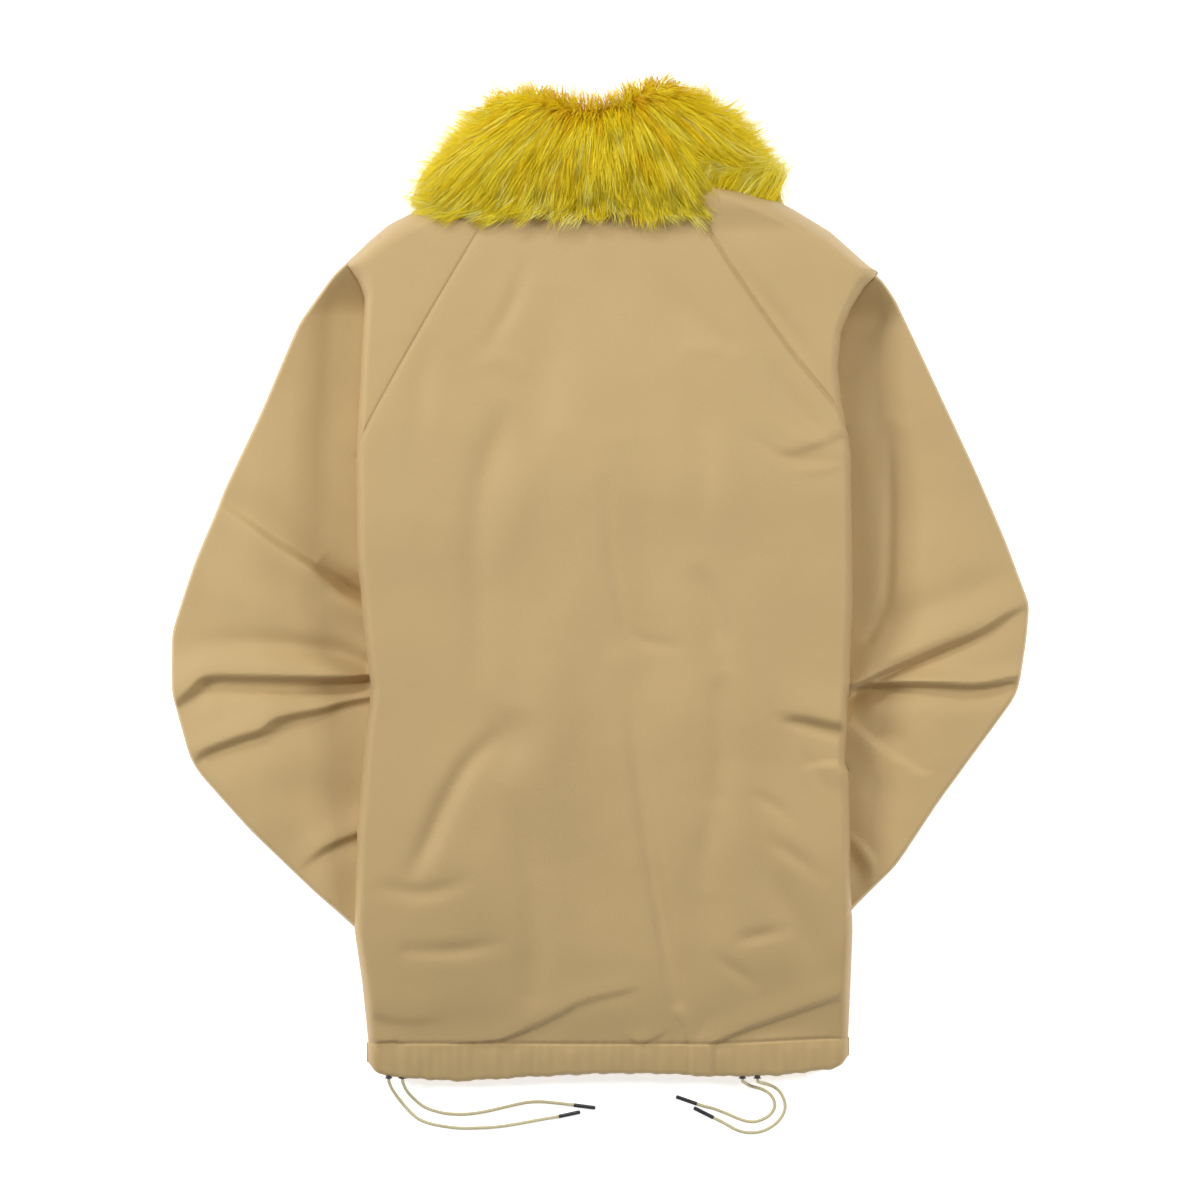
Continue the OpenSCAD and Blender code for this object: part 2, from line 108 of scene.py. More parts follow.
def cloth(name, color, scale=1100.0, angle=0.9, depth=0.00006, var=0.06, rough=0.62, sheen=0.12):
    """Fine twill: two crossed sets of yarns as bump, slow and fine colour variation."""
    m, p = principled(name, color, rough, sheen=sheen)
    t = m.node_tree
    n, l = t.nodes, t.links
    co = n.new("ShaderNodeTexCoord")
    mp = n.new("ShaderNodeMapping")
    mp.inputs["Rotation"].default_value = (0, 0, angle)
    l.new(co.outputs["Object"], mp.inputs["Vector"])
    w1 = n.new("ShaderNodeTexWave")
    w1.inputs["Scale"].default_value = scale / 6.28
    w1.inputs["Distortion"].default_value = 0.6
    w1.inputs["Detail"].default_value = 1.0
    l.new(mp.outputs["Vector"], w1.inputs["Vector"])
    w2 = n.new("ShaderNodeTexWave")
    w2.bands_direction = "Y"
    w2.inputs["Scale"].default_value = scale * 1.7 / 6.28
    w2.inputs["Distortion"].default_value = 0.4
    l.new(mp.outputs["Vector"], w2.inputs["Vector"])
    mul = n.new("ShaderNodeMath"); mul.operation = "MULTIPLY"
    l.new(w1.outputs["Fac"], mul.inputs[0]); l.new(w2.outputs["Fac"], mul.inputs[1])
    fine = n.new("ShaderNodeTexNoise")
    fine.inputs["Scale"].default_value = 700.0
    fine.inputs["Detail"].default_value = 3.0
    l.new(co.outputs["Object"], fine.inputs["Vector"])
    add = n.new("ShaderNodeMath"); add.operation = "MULTIPLY_ADD"
    add.inputs[1].default_value = 0.5
    l.new(fine.outputs["Fac"], add.inputs[0]); l.new(mul.outputs[0], add.inputs[2])
    bump = n.new("ShaderNodeBump")
    bump.inputs["Strength"].default_value = 0.55
    bump.inputs["Distance"].default_value = depth * 2
    l.new(add.outputs[0], bump.inputs["Height"])
    l.new(bump.outputs["Normal"], p.inputs["Normal"])
    slow = n.new("ShaderNodeTexNoise")
    slow.inputs["Scale"].default_value = 6.0
    slow.inputs["Detail"].default_value = 4.0
    l.new(co.outputs["Object"], slow.inputs["Vector"])
    mixf = n.new("ShaderNodeMath"); mixf.operation = "MULTIPLY_ADD"
    mixf.inputs[1].default_value = 0.35
    l.new(fine.outputs["Fac"], mixf.inputs[0]); l.new(slow.outputs["Fac"], mixf.inputs[2])
    ramp = n.new("ShaderNodeValToRGB")
    lo = [c * (1 - var) for c in color]
    hi = [min(1, c * (1 + var)) for c in color]
    ramp.color_ramp.elements[0].position = 0.45
    ramp.color_ramp.elements[1].position = 0.92
    ramp.color_ramp.elements[0].color = (*lo, 1)
    ramp.color_ramp.elements[1].color = (*hi, 1)
    l.new(mixf.outputs[0], ramp.inputs["Fac"])
    l.new(ramp.outputs["Color"], p.inputs["Base Color"])
    return m


KHAKI = (0.545, 0.385, 0.176)
M_CLOTH = cloth("khaki_twill", KHAKI)
M_LINING = cloth("lining_taffeta", (0.36, 0.26, 0.13), scale=2200, depth=0.00003, rough=0.45, sheen=0.05)
M_CORD = cloth("cord_braid", (0.74, 0.66, 0.42), scale=2600, angle=0.78, depth=0.0002, var=0.14, rough=0.8, sheen=0.3)
M_ELASTIC = cloth("elastic_rib", (0.72, 0.69, 0.6), scale=3200, angle=0.0, depth=0.0002, rough=0.8)
M_LABEL = cloth("label_tape", (0.66, 0.62, 0.52), scale=2600, angle=0.3, rough=0.7)


def metal(name, color, rough):
    m, p = principled(name, color, rough, metal=0.9)
    t = m.node_tree
    n, l = t.nodes, t.links
    co = n.new("ShaderNodeTexCoord")
    no = n.new("ShaderNodeTexNoise")
    no.inputs["Scale"].default_value = 260.0
    no.inputs["Detail"].default_value = 5.0
    l.new(co.outputs["Object"], no.inputs["Vector"])
    rr = n.new("ShaderNodeMapRange")
    rr.inputs["To Min"].default_value = rough - 0.08
    rr.inputs["To Max"].default_value = rough + 0.12
    l.new(no.outputs["Fac"], rr.inputs["Value"])
    l.new(rr.outputs[0], p.inputs["Roughness"])
    ramp = n.new("ShaderNodeValToRGB")
    ramp.color_ramp.elements[0].color = (*[c * 0.75 for c in color], 1)
    ramp.color_ramp.elements[1].color = (*[min(1, c * 1.3) for c in color], 1)
    l.new(no.outputs["Fac"], ramp.inputs["Fac"])
    l.new(ramp.outputs["Color"], p.inputs["Base Color"])
    b = n.new("ShaderNodeBump")
    b.inputs["Strength"].default_value = 0.15
    b.inputs["Distance"].default_value = 0.00005
    l.new(no.outputs["Fac"], b.inputs["Height"])
    l.new(b.outputs["Normal"], p.inputs["Normal"])
    return m


M_METAL = metal("gunmetal", (0.11, 0.11, 0.12), 0.3)


# ---------------------------------------------------------------- helpers
UP, DOWN = (0, 0, 1), (0, 0, -1)


def sm(a, b, x):
    t = np.clip((np.asarray(x, float) - a) / (b - a), 0, 1)
    return t * t * (3 - 2 * t)


def quarter(t):
    t = np.clip(t, 0, 1)
    return np.sqrt(np.maximum(0, 1 - (1 - t) ** 2))


def table(xs, ys, sig=5.0, lo=120, hi=1160):
    """A smooth function through given values."""
    g = np.arange(lo, hi + 1.0)
    y = np.interp(g, xs, ys)
    if sig:
        k = np.exp(-0.5 * (np.arange(-int(4 * sig), int(4 * sig) + 1) / sig) ** 2)
        n = len(k) // 2
        y = np.convolve(np.pad(y, n, mode="reflect", reflect_type="odd"), k / k.sum(), "valid")
    return lambda v: np.interp(v, g, y)


def smooth_line(pts, n=None, per=4):
    """Catmull-Rom through the points; rows may have any number of columns."""
    p = np.asarray(pts, float)
    q = np.vstack([2 * p[0] - p[1], p, 2 * p[-1] - p[-2]])
    out = []
    for i in range(len(p) - 1):
        a, b, c, d = q[i], q[i + 1], q[i + 2], q[i + 3]
        for t in np.linspace(0, 1, per, endpoint=False):
            out.append(0.5 * (2 * b + (c - a) * t + (2 * a - 5 * b + 4 * c - d) * t ** 2 + (3 * b - a - 3 * c + d) * t ** 3))
    out.append(p[-1])
    return np.array(out)


def corner_line(pts, soft=5.0):
    """Through the points in straight runs with the corners eased."""
    p = np.asarray(pts, float)
    acc = np.concatenate([[0], np.cumsum(np.linalg.norm(np.diff(p[:, :2], axis=0), axis=1))])
    g = np.arange(0, acc[-1], 0.5)
    q = np.column_stack([np.interp(g, acc, p[:, i]) for i in range(p.shape[1])])
    h = smooth_line(p, per=80)
    ah = np.interp(g, acc, np.arange(len(acc))) * 80
    h = np.column_stack([np.interp(ah, np.arange(len(h)), h[:, i]) for i in range(p.shape[1])])
    q = 0.65 * q + 0.35 * h
    k = np.exp(-0.5 * (np.arange(-30, 31) * 0.5 / soft) ** 2)
    k /= k.sum()
    return np.column_stack([np.convolve(np.pad(q[:, i], 30, mode="reflect", reflect_type="odd"), k, "valid") for i in range(p.shape[1])])


def near(P, U, V):
    """Distance to a polyline, signed distance (below a line drawn left to right is positive) and place along it, 0 to 1."""
    P = np.asarray(P, float)[:, :2]
    seg = np.linalg.norm(np.diff(P, axis=0), axis=1)
    acc = np.concatenate([[0], np.cumsum(seg)])
    best = np.full(U.shape, 1e9)
    perp = np.zeros(U.shape)
    sign = np.ones(U.shape)
    s = np.zeros(U.shape)
    for i in range(len(P) - 1):
        a, b = P[i], P[i + 1]
        dx, dy = b - a
        L2 = max(dx * dx + dy * dy, 1e-9)
        t = np.clip(((U - a[0]) * dx + (V - a[1]) * dy) / L2, 0, 1)
        d = np.hypot(U - a[0] - t * dx, V - a[1] - t * dy)
        c = (dx * (V - a[1]) - dy * (U - a[0])) / math.sqrt(L2)
        m = (d < best - 1e-6) | ((d < best + 1e-6) & (np.abs(c) > perp))
        best = np.where(m, d, best)
        perp = np.where(m, np.abs(c), perp)
        sign = np.where(m, np.where(c >= 0, 1.0, -1.0), sign)
        s = np.where(m, (acc[i] + t * seg[i]) / acc[-1], s)
    return best, best * sign, s


def fold(U, V, pts, amp, wa=22.0, w=9.0, wb=16.0, b=0.6, side=1):
    """A fold that rises slowly to a crest along pts and drops past it. amp per point, in mm; side -1 drops above the line."""
    P = np.asarray(pts, float)
    A = np.broadcast_to(np.asarray(amp, float), (len(P),))
    Q = smooth_line(np.column_stack([P, A]), per=5)
    seg = np.concatenate([[0], np.cumsum(np.linalg.norm(np.diff(Q[:, :2], axis=0), axis=1))])
    lo, hi = Q[:, :2].min(0) - 90, Q[:, :2].max(0) + 90
    out = np.zeros(U.shape)
    m = (U > lo[0]) & (U < hi[0]) & (V > lo[1]) & (V < hi[1])
    if not m.any():
        return out
    d, n, s = near(Q, U[m], V[m])
    a = np.interp(s, seg / seg[-1], Q[:, 2])
    n = n * side
    up = np.exp(-(n / wa) ** 2)
    t = np.clip(n / w, 0, 1)
    down = 1 - (1 + b) * t * t * (3 - 2 * t)
    rec = -b * np.exp(-((n - w) / wb) ** 2)
    h = np.where(n < 0, up, np.where(n < w, down, rec))
    out[m] = a * h
    return out


def dent(U, V, pts, amp, w=20.0):
    """A soft valley (negative amp) or rise along pts."""
    P = np.asarray(pts, float)
    A = np.broadcast_to(np.asarray(amp, float), (len(P),))
    Q = smooth_line(np.column_stack([P, A]), per=5)
    seg = np.concatenate([[0], np.cumsum(np.linalg.norm(np.diff(Q[:, :2], axis=0), axis=1))])
    d, n, s = near(Q, U, V)
    return np.interp(s, seg / seg[-1], Q[:, 2]) * np.exp(-(d / w) ** 2)


def waves(U, V, n, lo, hi, amp, seed, ang=(0, math.pi)):
    r = np.random.RandomState(seed)
    out = np.zeros(U.shape)
    for _ in range(n):
        lam = math.exp(r.uniform(math.log(lo), math.log(hi)))
        a = r.uniform(*ang)
        k = 2 * math.pi / lam
        ph = r.uniform(0, 6.283)
        wob = 0.6 * np.sin((U * math.sin(a) - V * math.cos(a)) * k * 0.37 + r.uniform(0, 6.283))
        out += (lam / hi) * np.sin((U * math.cos(a) + V * math.sin(a)) * k + ph + wob)
    return amp * out / math.sqrt(n)


def grid(name, P, mat, close=False, face=None, normals=False, skip=None, part=None):
    """A smooth quad mesh from rows x columns of points in metres. A tube faces outward, a sheet the way face says."""
    N = grid_normals(P, close)
    if close:
        mid = P.mean(1, keepdims=True)
        out = ((P - mid) * N).sum(-1).mean()
    else:
        out = (N @ np.asarray(face, float)).mean()
    flip = out < 0
    if flip:
        N = -N
    if part is not None:
        P, N = P[part], N[part]
    R, C = P.shape[:2]
    idx = np.arange(R * C).reshape(R, C)
    if close:
        idx = np.concatenate([idx, idx[:, :1]], 1)
    q = np.stack([idx[:-1, :-1], idx[:-1, 1:], idx[1:, 1:], idx[1:, :-1]], -1)
    if skip is not None:
        q = q[~skip]
    q = q.reshape(-1, 4)
    if flip:
        q = q[:, ::-1]
    me = bpy.data.meshes.new(name)
    me.vertices.add(R * C)
    me.vertices.foreach_set("co", P.reshape(-1).astype(np.float32))
    me.loops.add(len(q) * 4)
    me.loops.foreach_set("vertex_index", np.ascontiguousarray(q).reshape(-1).astype(np.int32))
    me.polygons.add(len(q))
    me.polygons.foreach_set("loop_start", np.arange(0, len(q) * 4, 4, dtype=np.int32))
    me.update(calc_edges=True)
    me.validate()
    me.polygons.foreach_set("use_smooth", np.ones(len(me.polygons), bool))
    if normals:
        me.normals_split_custom_set_from_vertices(N.reshape(-1, 3).tolist())
    me.materials.append(mat)
    o = bpy.data.objects.new(name, me)
    scene.collection.objects.link(o)
    return o


def grid_normals(P, close=False):
    """Normals that match quads wound row, column, as grid() makes them."""
    if close:
        Q = np.concatenate([P[:, -1:], P, P[:, :1]], 1)
        du = Q[:, 2:] - Q[:, :-2]
    else:
        du = np.gradient(P, axis=1)
    dv = np.gradient(P, axis=0)
    n = np.cross(du, dv)
    return n / np.maximum(np.linalg.norm(n, axis=-1, keepdims=True), 1e-12)


# ---------------------------------------------------------------- the pattern: edges and seams
EDGE_L = table([190, 200, 213, 224, 240, 265, 270, 285, 300, 330, 400, 460, 560, 640, 690, 730, 830, 928, 980, 1045, 1062, 1100],
               [452, 436, 413, 390, 371, 345, 351, 361, 366, 364, 360, 357, 358, 366, 372, 366, 358, 355, 362, 368, 368, 369], 2.2)
EDGE_R = table([176, 190, 208, 232, 275, 282, 290, 310, 335, 370, 400, 430, 455, 600, 690, 764, 769, 880, 930, 1000, 1055, 1100],
               [715, 750, 790, 830, 878, 870, 862, 850, 840, 837, 840, 846, 850, 852, 848, 844, 848, 850, 852, 850, 848, 847], 1.6)
SEAM_L = [(505, 193), (492, 215), (430, 320), (385, 400), (366, 437), (352, 470)]
SEAM_R = [(681, 193), (693, 212), (720, 255), (740, 285), (790, 355), (830, 405), (846, 432), (856, 452)]
OUT_L = [(378, 238), (355, 257), (332, 278), (300, 322), (280, 368), (260, 415), (224, 491), (217, 510), (195, 562), (174, 626), (172, 640), (172, 690), (177, 712), (190, 757), (200, 774), (250, 830), (310, 888), (355, 928), (401, 977)]
IN_L = [(430, 262), (428, 286), (424, 316), (410, 352), (400, 392), (392, 434), (383, 504), (382, 516), (380, 582), (390, 634), (393, 646), (396, 672), (398, 688), (398, 712), (398, 722), (404, 752), (432, 800), (465, 842), (506, 895)]
OUT_R = [(826, 246), (860, 268), (879, 278), (896, 301), (902, 314), (940, 395), (975, 470), (1005, 540), (1026, 596), (1029, 606), (1026, 640), (1019, 685), (1014, 698), (1000, 718), (940, 800), (903, 856), (893, 869), (852, 910), (799, 977)]
IN_R = [(775, 262), (777, 286), (780, 312), (788, 344), (791, 356), (805, 432), (815, 512), (822, 580), (819, 634), (818, 644), (813, 660), (807, 680), (805, 692), (804, 704), (800, 740), (778, 786), (767, 802), (735, 845), (694, 895)]
BASE = table([170, 215, 300, 500, 700, 850, 950, 1000, 1040, 1078, 1120], [78, 82, 84, 86, 80, 68, 56, 45, 31, 25, 24], 12)
LEVEL = table([200, 240, 290, 340, 400, 500, 700, 830, 930, 1000], [80, 78, 68, 59, 55, 54, 53, 48, 37, 34], 12)


def body_relief(U, V):
    z = waves(U, V, 9, 110, 420, 2.6, 3) + waves(U, V, 10, 30, 90, 0.2, 5)
    # long soft valleys down the back
    z += dent(U, V, [(632, 440), (642, 520), (650, 600), (655, 700)], [0, -4.5, -5.5, -2.0], 30)
    z += dent(U, V, [(668, 720), (700, 800), (706, 900), (690, 1000)], [-1.0, -4.5, -4.0, -1.0], 28)
    z += dent(U, V, [(560, 290), (545, 380), (528, 480)], [0, -3.6, 0], 24)
    z += dent(U, V, [(520, 705), (508, 740), (500, 780)], [0, -4.0, 0], 20)
    z += dent(U, V, [(585, 560), (560, 640), (545, 760), (560, 860)], [0, 4.0, 4.0, 0], 34)
    z += dent(U, V, [(735, 560), (745, 650), (748, 760)], [0, 4.4, 1.4], 30)
    # under the right raglan seam
    z += dent(U, V, [(722, 243), (752, 290), (790, 340), (826, 392)], [-0.6, -3.4, -3.6, -1.0], 10)
    # right side, upper and middle
    z += fold(U, V, [(768, 452), (800, 447), (845, 430)], [0, 1.6, 1.8], 14, 10, 14)
    z += fold(U, V, [(782, 470), (815, 470), (848, 462)], [0, 0.9, 1.2], 12, 9, 12)
    z += fold(U, V, [(774, 716), (800, 714), (845, 722)], [0, 3.2, 4.4], 24, 9, 24, 0.8)
    z += fold(U, V, [(796, 770), (820, 765), (846, 764)], [0, 1.8, 2.6], 16, 5, 12, 0.3, -1)
    z += dent(U, V, [(745, 790), (765, 870), (800, 930), (826, 985)], [0, -3.6, -3.0, 0], 16)
    z += dent(U, V, [(775, 760), (800, 850), (835, 930)], [0, 2.8, 0], 20)
    # finer valleys and ridges
    for pts, amp, w in (
        ([(692, 566), (706, 590), (716, 622), (724, 656)], [0, -4.2, -4.6, -1.5], 11),
        ([(722, 672), (718, 700), (722, 750), (718, 792)], [-1.0, -4.6, -4.8, -2.0], 13),
        ([(716, 800), (704, 850), (706, 890)], [-1.5, -3.0, 0], 13),
        ([(512, 404), (495, 450), (481, 500), (478, 560), (480, 640), (490, 690)], [0, -5.6, -5.4, -4.0, -3.4, 0], 15),
        ([(532, 440), (520, 500), (512, 560)], [0, 2.4, 0], 16),
        ([(527, 268), (512, 310), (490, 346)], [-0.6, -3.2, -1.0], 9),
        ([(520, 372), (500, 362), (470, 372)], [1.2, 1.8, 0], 10),
        ([(430, 335), (424, 390), (416, 470)], [0, -2.6, 0], 13),
        ([(605, 470), (608, 520), (614, 574), (632, 634), (674, 646)], [0, -1.4, -2.2, -2.4, -1.2], 7),
        ([(678, 366), (698, 420), (702, 480), (700, 540)], [0, -3.6, -3.8, -1.0], 17),
        ([(650, 268), (686, 316), (724, 350)], [0, -3.0, -2.6], 13),
        ([(690, 352), (720, 354), (744, 366)], [1.2, 1.6, 0], 8),
        ([(626, 688), (634, 740), (641, 790), (653, 870), (665, 940), (676, 1000)], [0, -3.0, -4.6, -6.2, -6.4, -3.0], 9),
        ([(600, 660), (620, 662), (650, 672)], [0, 2.4, 0], 16),
        ([(510, 790), (526, 850), (536, 930), (532, 990)], [0, -3.6, -4.0, -3.0], 14),
        ([(504, 728), (470, 762), (448, 800), (430, 840), (416, 868)], [-0.5, -5.4, -6.4, -6.4, -2.5], 10),
        ([(386, 886), (430, 890), (480, 874)], [-1.5, -3.6, 0], 9),
        ([(408, 949), (460, 948), (512, 940)], [-2.0, -3.6, 0], 8),
        ([(776, 716), (800, 722), (826, 730), (846, 734)], [-1.0, -5.0, -4.5, -2.0], 6),
        ([(798, 742), (812, 768), (830, 798)], [0, -2.2, 0], 7),
        ([(748, 790), (772, 804), (796, 824)], [0, -2.2, 0], 7),
        ([(762, 834), (790, 852), (820, 876)], [0, -3.2, -1.0], 8),
        ([(730, 940), (756, 934), (784, 928)], [0, -3.2, -1.0], 7),
        ([(708, 950), (734, 968), (760, 988)], [0, -2.6, 0], 7),
        ([(742, 428), (766, 450), (794, 462), (842, 464)], [0, -1.8, -2.6, -1.6], 6),
        ([(756, 350), (782, 392), (808, 426), (842, 454)], [0, -2.4, -2.4, 0], 8),
        ([(745, 404), (790, 436), (848, 450)], [0, 1.4, 1.4], 8),
    ):
        z += 0.8 * dent(U, V, pts, amp, w)
    # creases above the hem
    z += fold(U, V, [(368, 1035), (380, 1040), (395, 1039), (420, 1045), (452, 1042), (496, 1038), (515, 1032), (550, 1016), (582, 999), (620, 989), (642, 984)],
              [2.6, 2.2, 1.5, 1.1, 1.4, 2.6, 2.8, 2.4, 1.9, 1.4, 0], 15, 3.6, 11, 0.5)
    z += fold(U, V, [(624, 1030), (642, 1040), (670, 1026)], [0, 1.5, 0], 12, 4, 10)
    z += fold(U, V, [(670, 1003), (684, 1020), (690, 1038), (700, 1045), (740, 1029), (790, 1011), (830, 997), (850, 991)],
              [0, 1.6, 1.8, 2.4, 2.8, 2.8, 2.4, 1.8], 16, 3.6, 12, 0.5)
    z += fold(U, V, [(730, 1044), (760, 1041), (800, 1040), (835, 1038)], [0, 0.9, 0.9, 0], 8, 4, 8)
    z += fold(U, V, [(372, 1010), (410, 1016), (450, 1012)], [1.6, 1.2, 0], 20, 10, 16)
    return z


def body_top(U, V):
    lm, rm = EDGE_L(V), EDGE_R(V)
    c = np.clip((U - lm) / np.maximum(rm - lm, 1), 0, 1)
    z = BASE(V) + 2.5 * (1 - (2 * c - 1) ** 2)
    z = z + body_relief(U, V)
    st = V - (1043 - 5 * sm(700, 850, U))
    z = z - 1.3 * np.exp(-(st / 2.2) ** 2) + 0.35 * np.exp(-(st / 5.0) ** 2) * np.sin(U * 0.55 + 2 * np.sin(U * 0.071))
    return z


SL, SR = smooth_line(SEAM_L), smooth_line(SEAM_R)


def seams(U, V):
    dl = near(SL, U, V)[0]
    dr = near(SR, U, V)[0]
    return -1.3 * np.exp(-(dl / 1.6) ** 2) - 2.3 * np.exp(-(dr / 1.9) ** 2) - 0.5 * np.exp(-(dl / 7) ** 2) - 0.6 * np.exp(-(dr / 8) ** 2)


def left_folds(U, V):
    z = waves(U, V, 8, 60, 260, 1.2, 11) + waves(U, V, 10, 24, 70, 0.18, 12)
    z += fold(U, V, [(218, 506), (245, 525), (280, 550), (305, 566), (330, 583), (345, 596), (372, 606)], [1.4, 3.0, 4.4, 5.4, 6.4, 7.0, 7.0], 20, 10, 24, 1.0, -1)
    z += dent(U, V, [(318, 562), (340, 580), (368, 596)], [0, -9, -15], 11)
    z += dent(U, V, [(185, 645), (250, 643), (330, 652), (368, 666)], [-0.5, -4.0, -8.5, -14], 12)
    z += fold(U, V, [(174, 702), (190, 689), (208, 675), (250, 674), (300, 675), (350, 675), (374, 672)], [2.4, 4.8, 6.4, 6.6, 7.4, 9.5, 9.5], 24, 9, 18, 1.0)
    z += fold(U, V, [(194, 758), (206, 748), (240, 735), (262, 728), (280, 716), (320, 707), (345, 700), (376, 694)], [1.2, 4.2, 5.2, 5.2, 5.2, 4.6, 4.6, 4.6], 18, 8, 26, 0.9)
    z += fold(U, V, [(296, 868), (325, 845), (360, 830)], [0, 3.0, 3.8], 16, 7, 14, 0.7)
    z += dent(U, V, [(205, 590), (250, 600), (300, 620)], [0.5, 1.8, 0], 18)
    z += dent(U, V, [(240, 780), (300, 790), (350, 800)], [0, -1.8, -2.6], 20)
    z += dent(U, V, [(214, 690), (270, 690), (330, 688), (366, 684)], [0, -2.5, -4.0, -6.0], 6)
    return z


def right_folds(U, V):
    z = waves(U, V, 8, 60, 260, 1.2, 21) + waves(U, V, 10, 24, 70, 0.18, 22)
    z += dent(U, V, [(1008, 572), (960, 595), (890, 620), (850, 640)], [-1.0, -2.6, -3.4, -4.5], 16)
    z += fold(U, V, [(846, 692), (858, 680), (900, 662), (940, 645), (975, 630), (1000, 614), (1024, 602)], [8.4, 8.4, 7.4, 6.0, 4.6, 3.0, 0.8], 22, 7.5, 16, 1.0)
    z += fold(U, V, [(846, 684), (900, 681), (940, 682), (975, 683), (1008, 677), (1020, 676)], [8.4, 7.6, 6.8, 6.0, 4.4, 1.5], 11, 6.5, 14, 1.0)
    z += fold(U, V, [(848, 724), (865, 740), (885, 755), (915, 774), (932, 778)], [2.6, 2.6, 2.0, 1.4, 0], 15, 9, 16, 0.7, -1)
    z += dent(U, V, [(846, 850), (860, 878), (852, 896)], [-5, -5, -2], 13)
    z += fold(U, V, [(850, 838), (870, 862), (866, 890)], [1.5, 2.0, 0], 12, 8, 12, 0.6, -1)
    z += dent(U, V, [(890, 430), (889, 500), (888, 560), (884, 604), (868, 640)], [-0.6, -2.2, -2.6, -2.8, -2], 6)
    z += dent(U, V, [(878, 675), (912, 660), (950, 645), (985, 628)], [-3.0, -4.5, -4.0, -1.0], 7)
    return z


RIM = {"left": corner_line(OUT_L)[::8], "right": corner_line(OUT_R)[::8]}


def sleeve_top(side, U, V):
    """Height of a sleeve's upper face before its edges round over."""
    sgn, edge, relief = (1, EDGE_L, left_folds) if side == "left" else (-1, EDGE_R, right_folds)
    di = sgn * (U - edge(V))
    k = sm(264, 318, V) if side == "left" else sm(276, 325, V)
    lv = LEVEL(V)
    g = 1 - sm(26, 105, -di)
    tb = 43 - 9 * sm(2, 24, di) * sm(560, 640, V)
    z = lv + (tb - lv) * g * k
    z = z + relief(U, V) * (1 - 0.75 * sm(0, 16, di)) * sm(250, 330, V)
    z = z - 8 * sm(-2, 8, di) * (1 - k)
    dto = near(RIM[side], U, V)[0]
    return 15.0 + (z - 15.0) * quarter(dto / 5.0)


def edge_low(side, V):
    """How far the body's side wall comes down: just under the sleeve, or to the side fold."""
    edge = EDGE_L if side == "left" else EDGE_R
    t = sleeve_top(side, edge(V), V) - 2.5
    tail = table([900, 928, 950, 1000, 1040, 1080], [38, 33, 30, 19, 13, 12], 8)(V)
    m = sm(905, 935, V)
    t = t * (1 - m) + tail * m
    m = (1 - sm(256, 270, V)) if side == "left" else (1 - sm(266, 279, V))
    return t * (1 - m) + 22.0 * m


OUTER_L = np.column_stack([EDGE_L(np.arange(186, 1100, 3.0)), np.arange(186, 1100, 3.0)])
OUTER_R = np.column_stack([EDGE_R(np.arange(176, 1100, 3.0)), np.arange(176, 1100, 3.0)])


def body_surface(U, V):
    z = body_top(U, V) + seams(U, V)
    z = z + 11.0 * sm(678, 696, U) * sm(238, 200, V)
    for side, line in (("left", OUTER_L), ("right", OUTER_R)):
        sgn = 1 if side == "left" else -1
        e = EDGE_L(V) if side == "left" else EDGE_R(V)
        d = near(line, U, V)[0]
        d = np.where(sgn * (U - e) < 0, 0, d)
        r = table([180, 225, 262, 300, 900, 1000, 1080], [24, 24, 18, 9, 10, 12, 10], 8)(V)
        lo = edge_low(side, V)
        z = lo + (z - lo) * quarter(d / r)
    return z


def span(a, b, n, ca, cb, ra, rb):
    """n places from a to b per row, crowded at either end where ca or cb is set, over widths ra and rb."""
    t = np.linspace(0, 1, n)[None, :]
    ka = 9 if ca else 0
    kb = 9 if cb else 0
    out = np.zeros((len(a), n))
    w = b - a
    for i in range(len(a)):
        sgn = 1 if w[i] > 0 else -1
        W_ = abs(w[i])
        A = ra[i] if ca else 0
        B = rb[i] if cb else 0
        if A + B > 0.9 * W_:
            s = 0.9 * W_ / (A + B)
            A, B = A * s, B * s
        first = A * (1 - np.cos(np.linspace(0, np.pi / 2, ka + 1)))[:-1] if ca else np.array([])
        last = W_ - (B * (1 - np.cos(np.linspace(0, np.pi / 2, kb + 1)))[:-1])[::-1] if cb else np.array([])
        mid = np.linspace(A, W_ - B, n - len(first) - len(last))
        out[i] = a[i] + sgn * np.concatenate([first, mid, last])
    return out


def seam_u(P, V, edge, sgn):
    P = np.asarray(P, float)
    return np.interp(V, P[:, 1], P[:, 0])


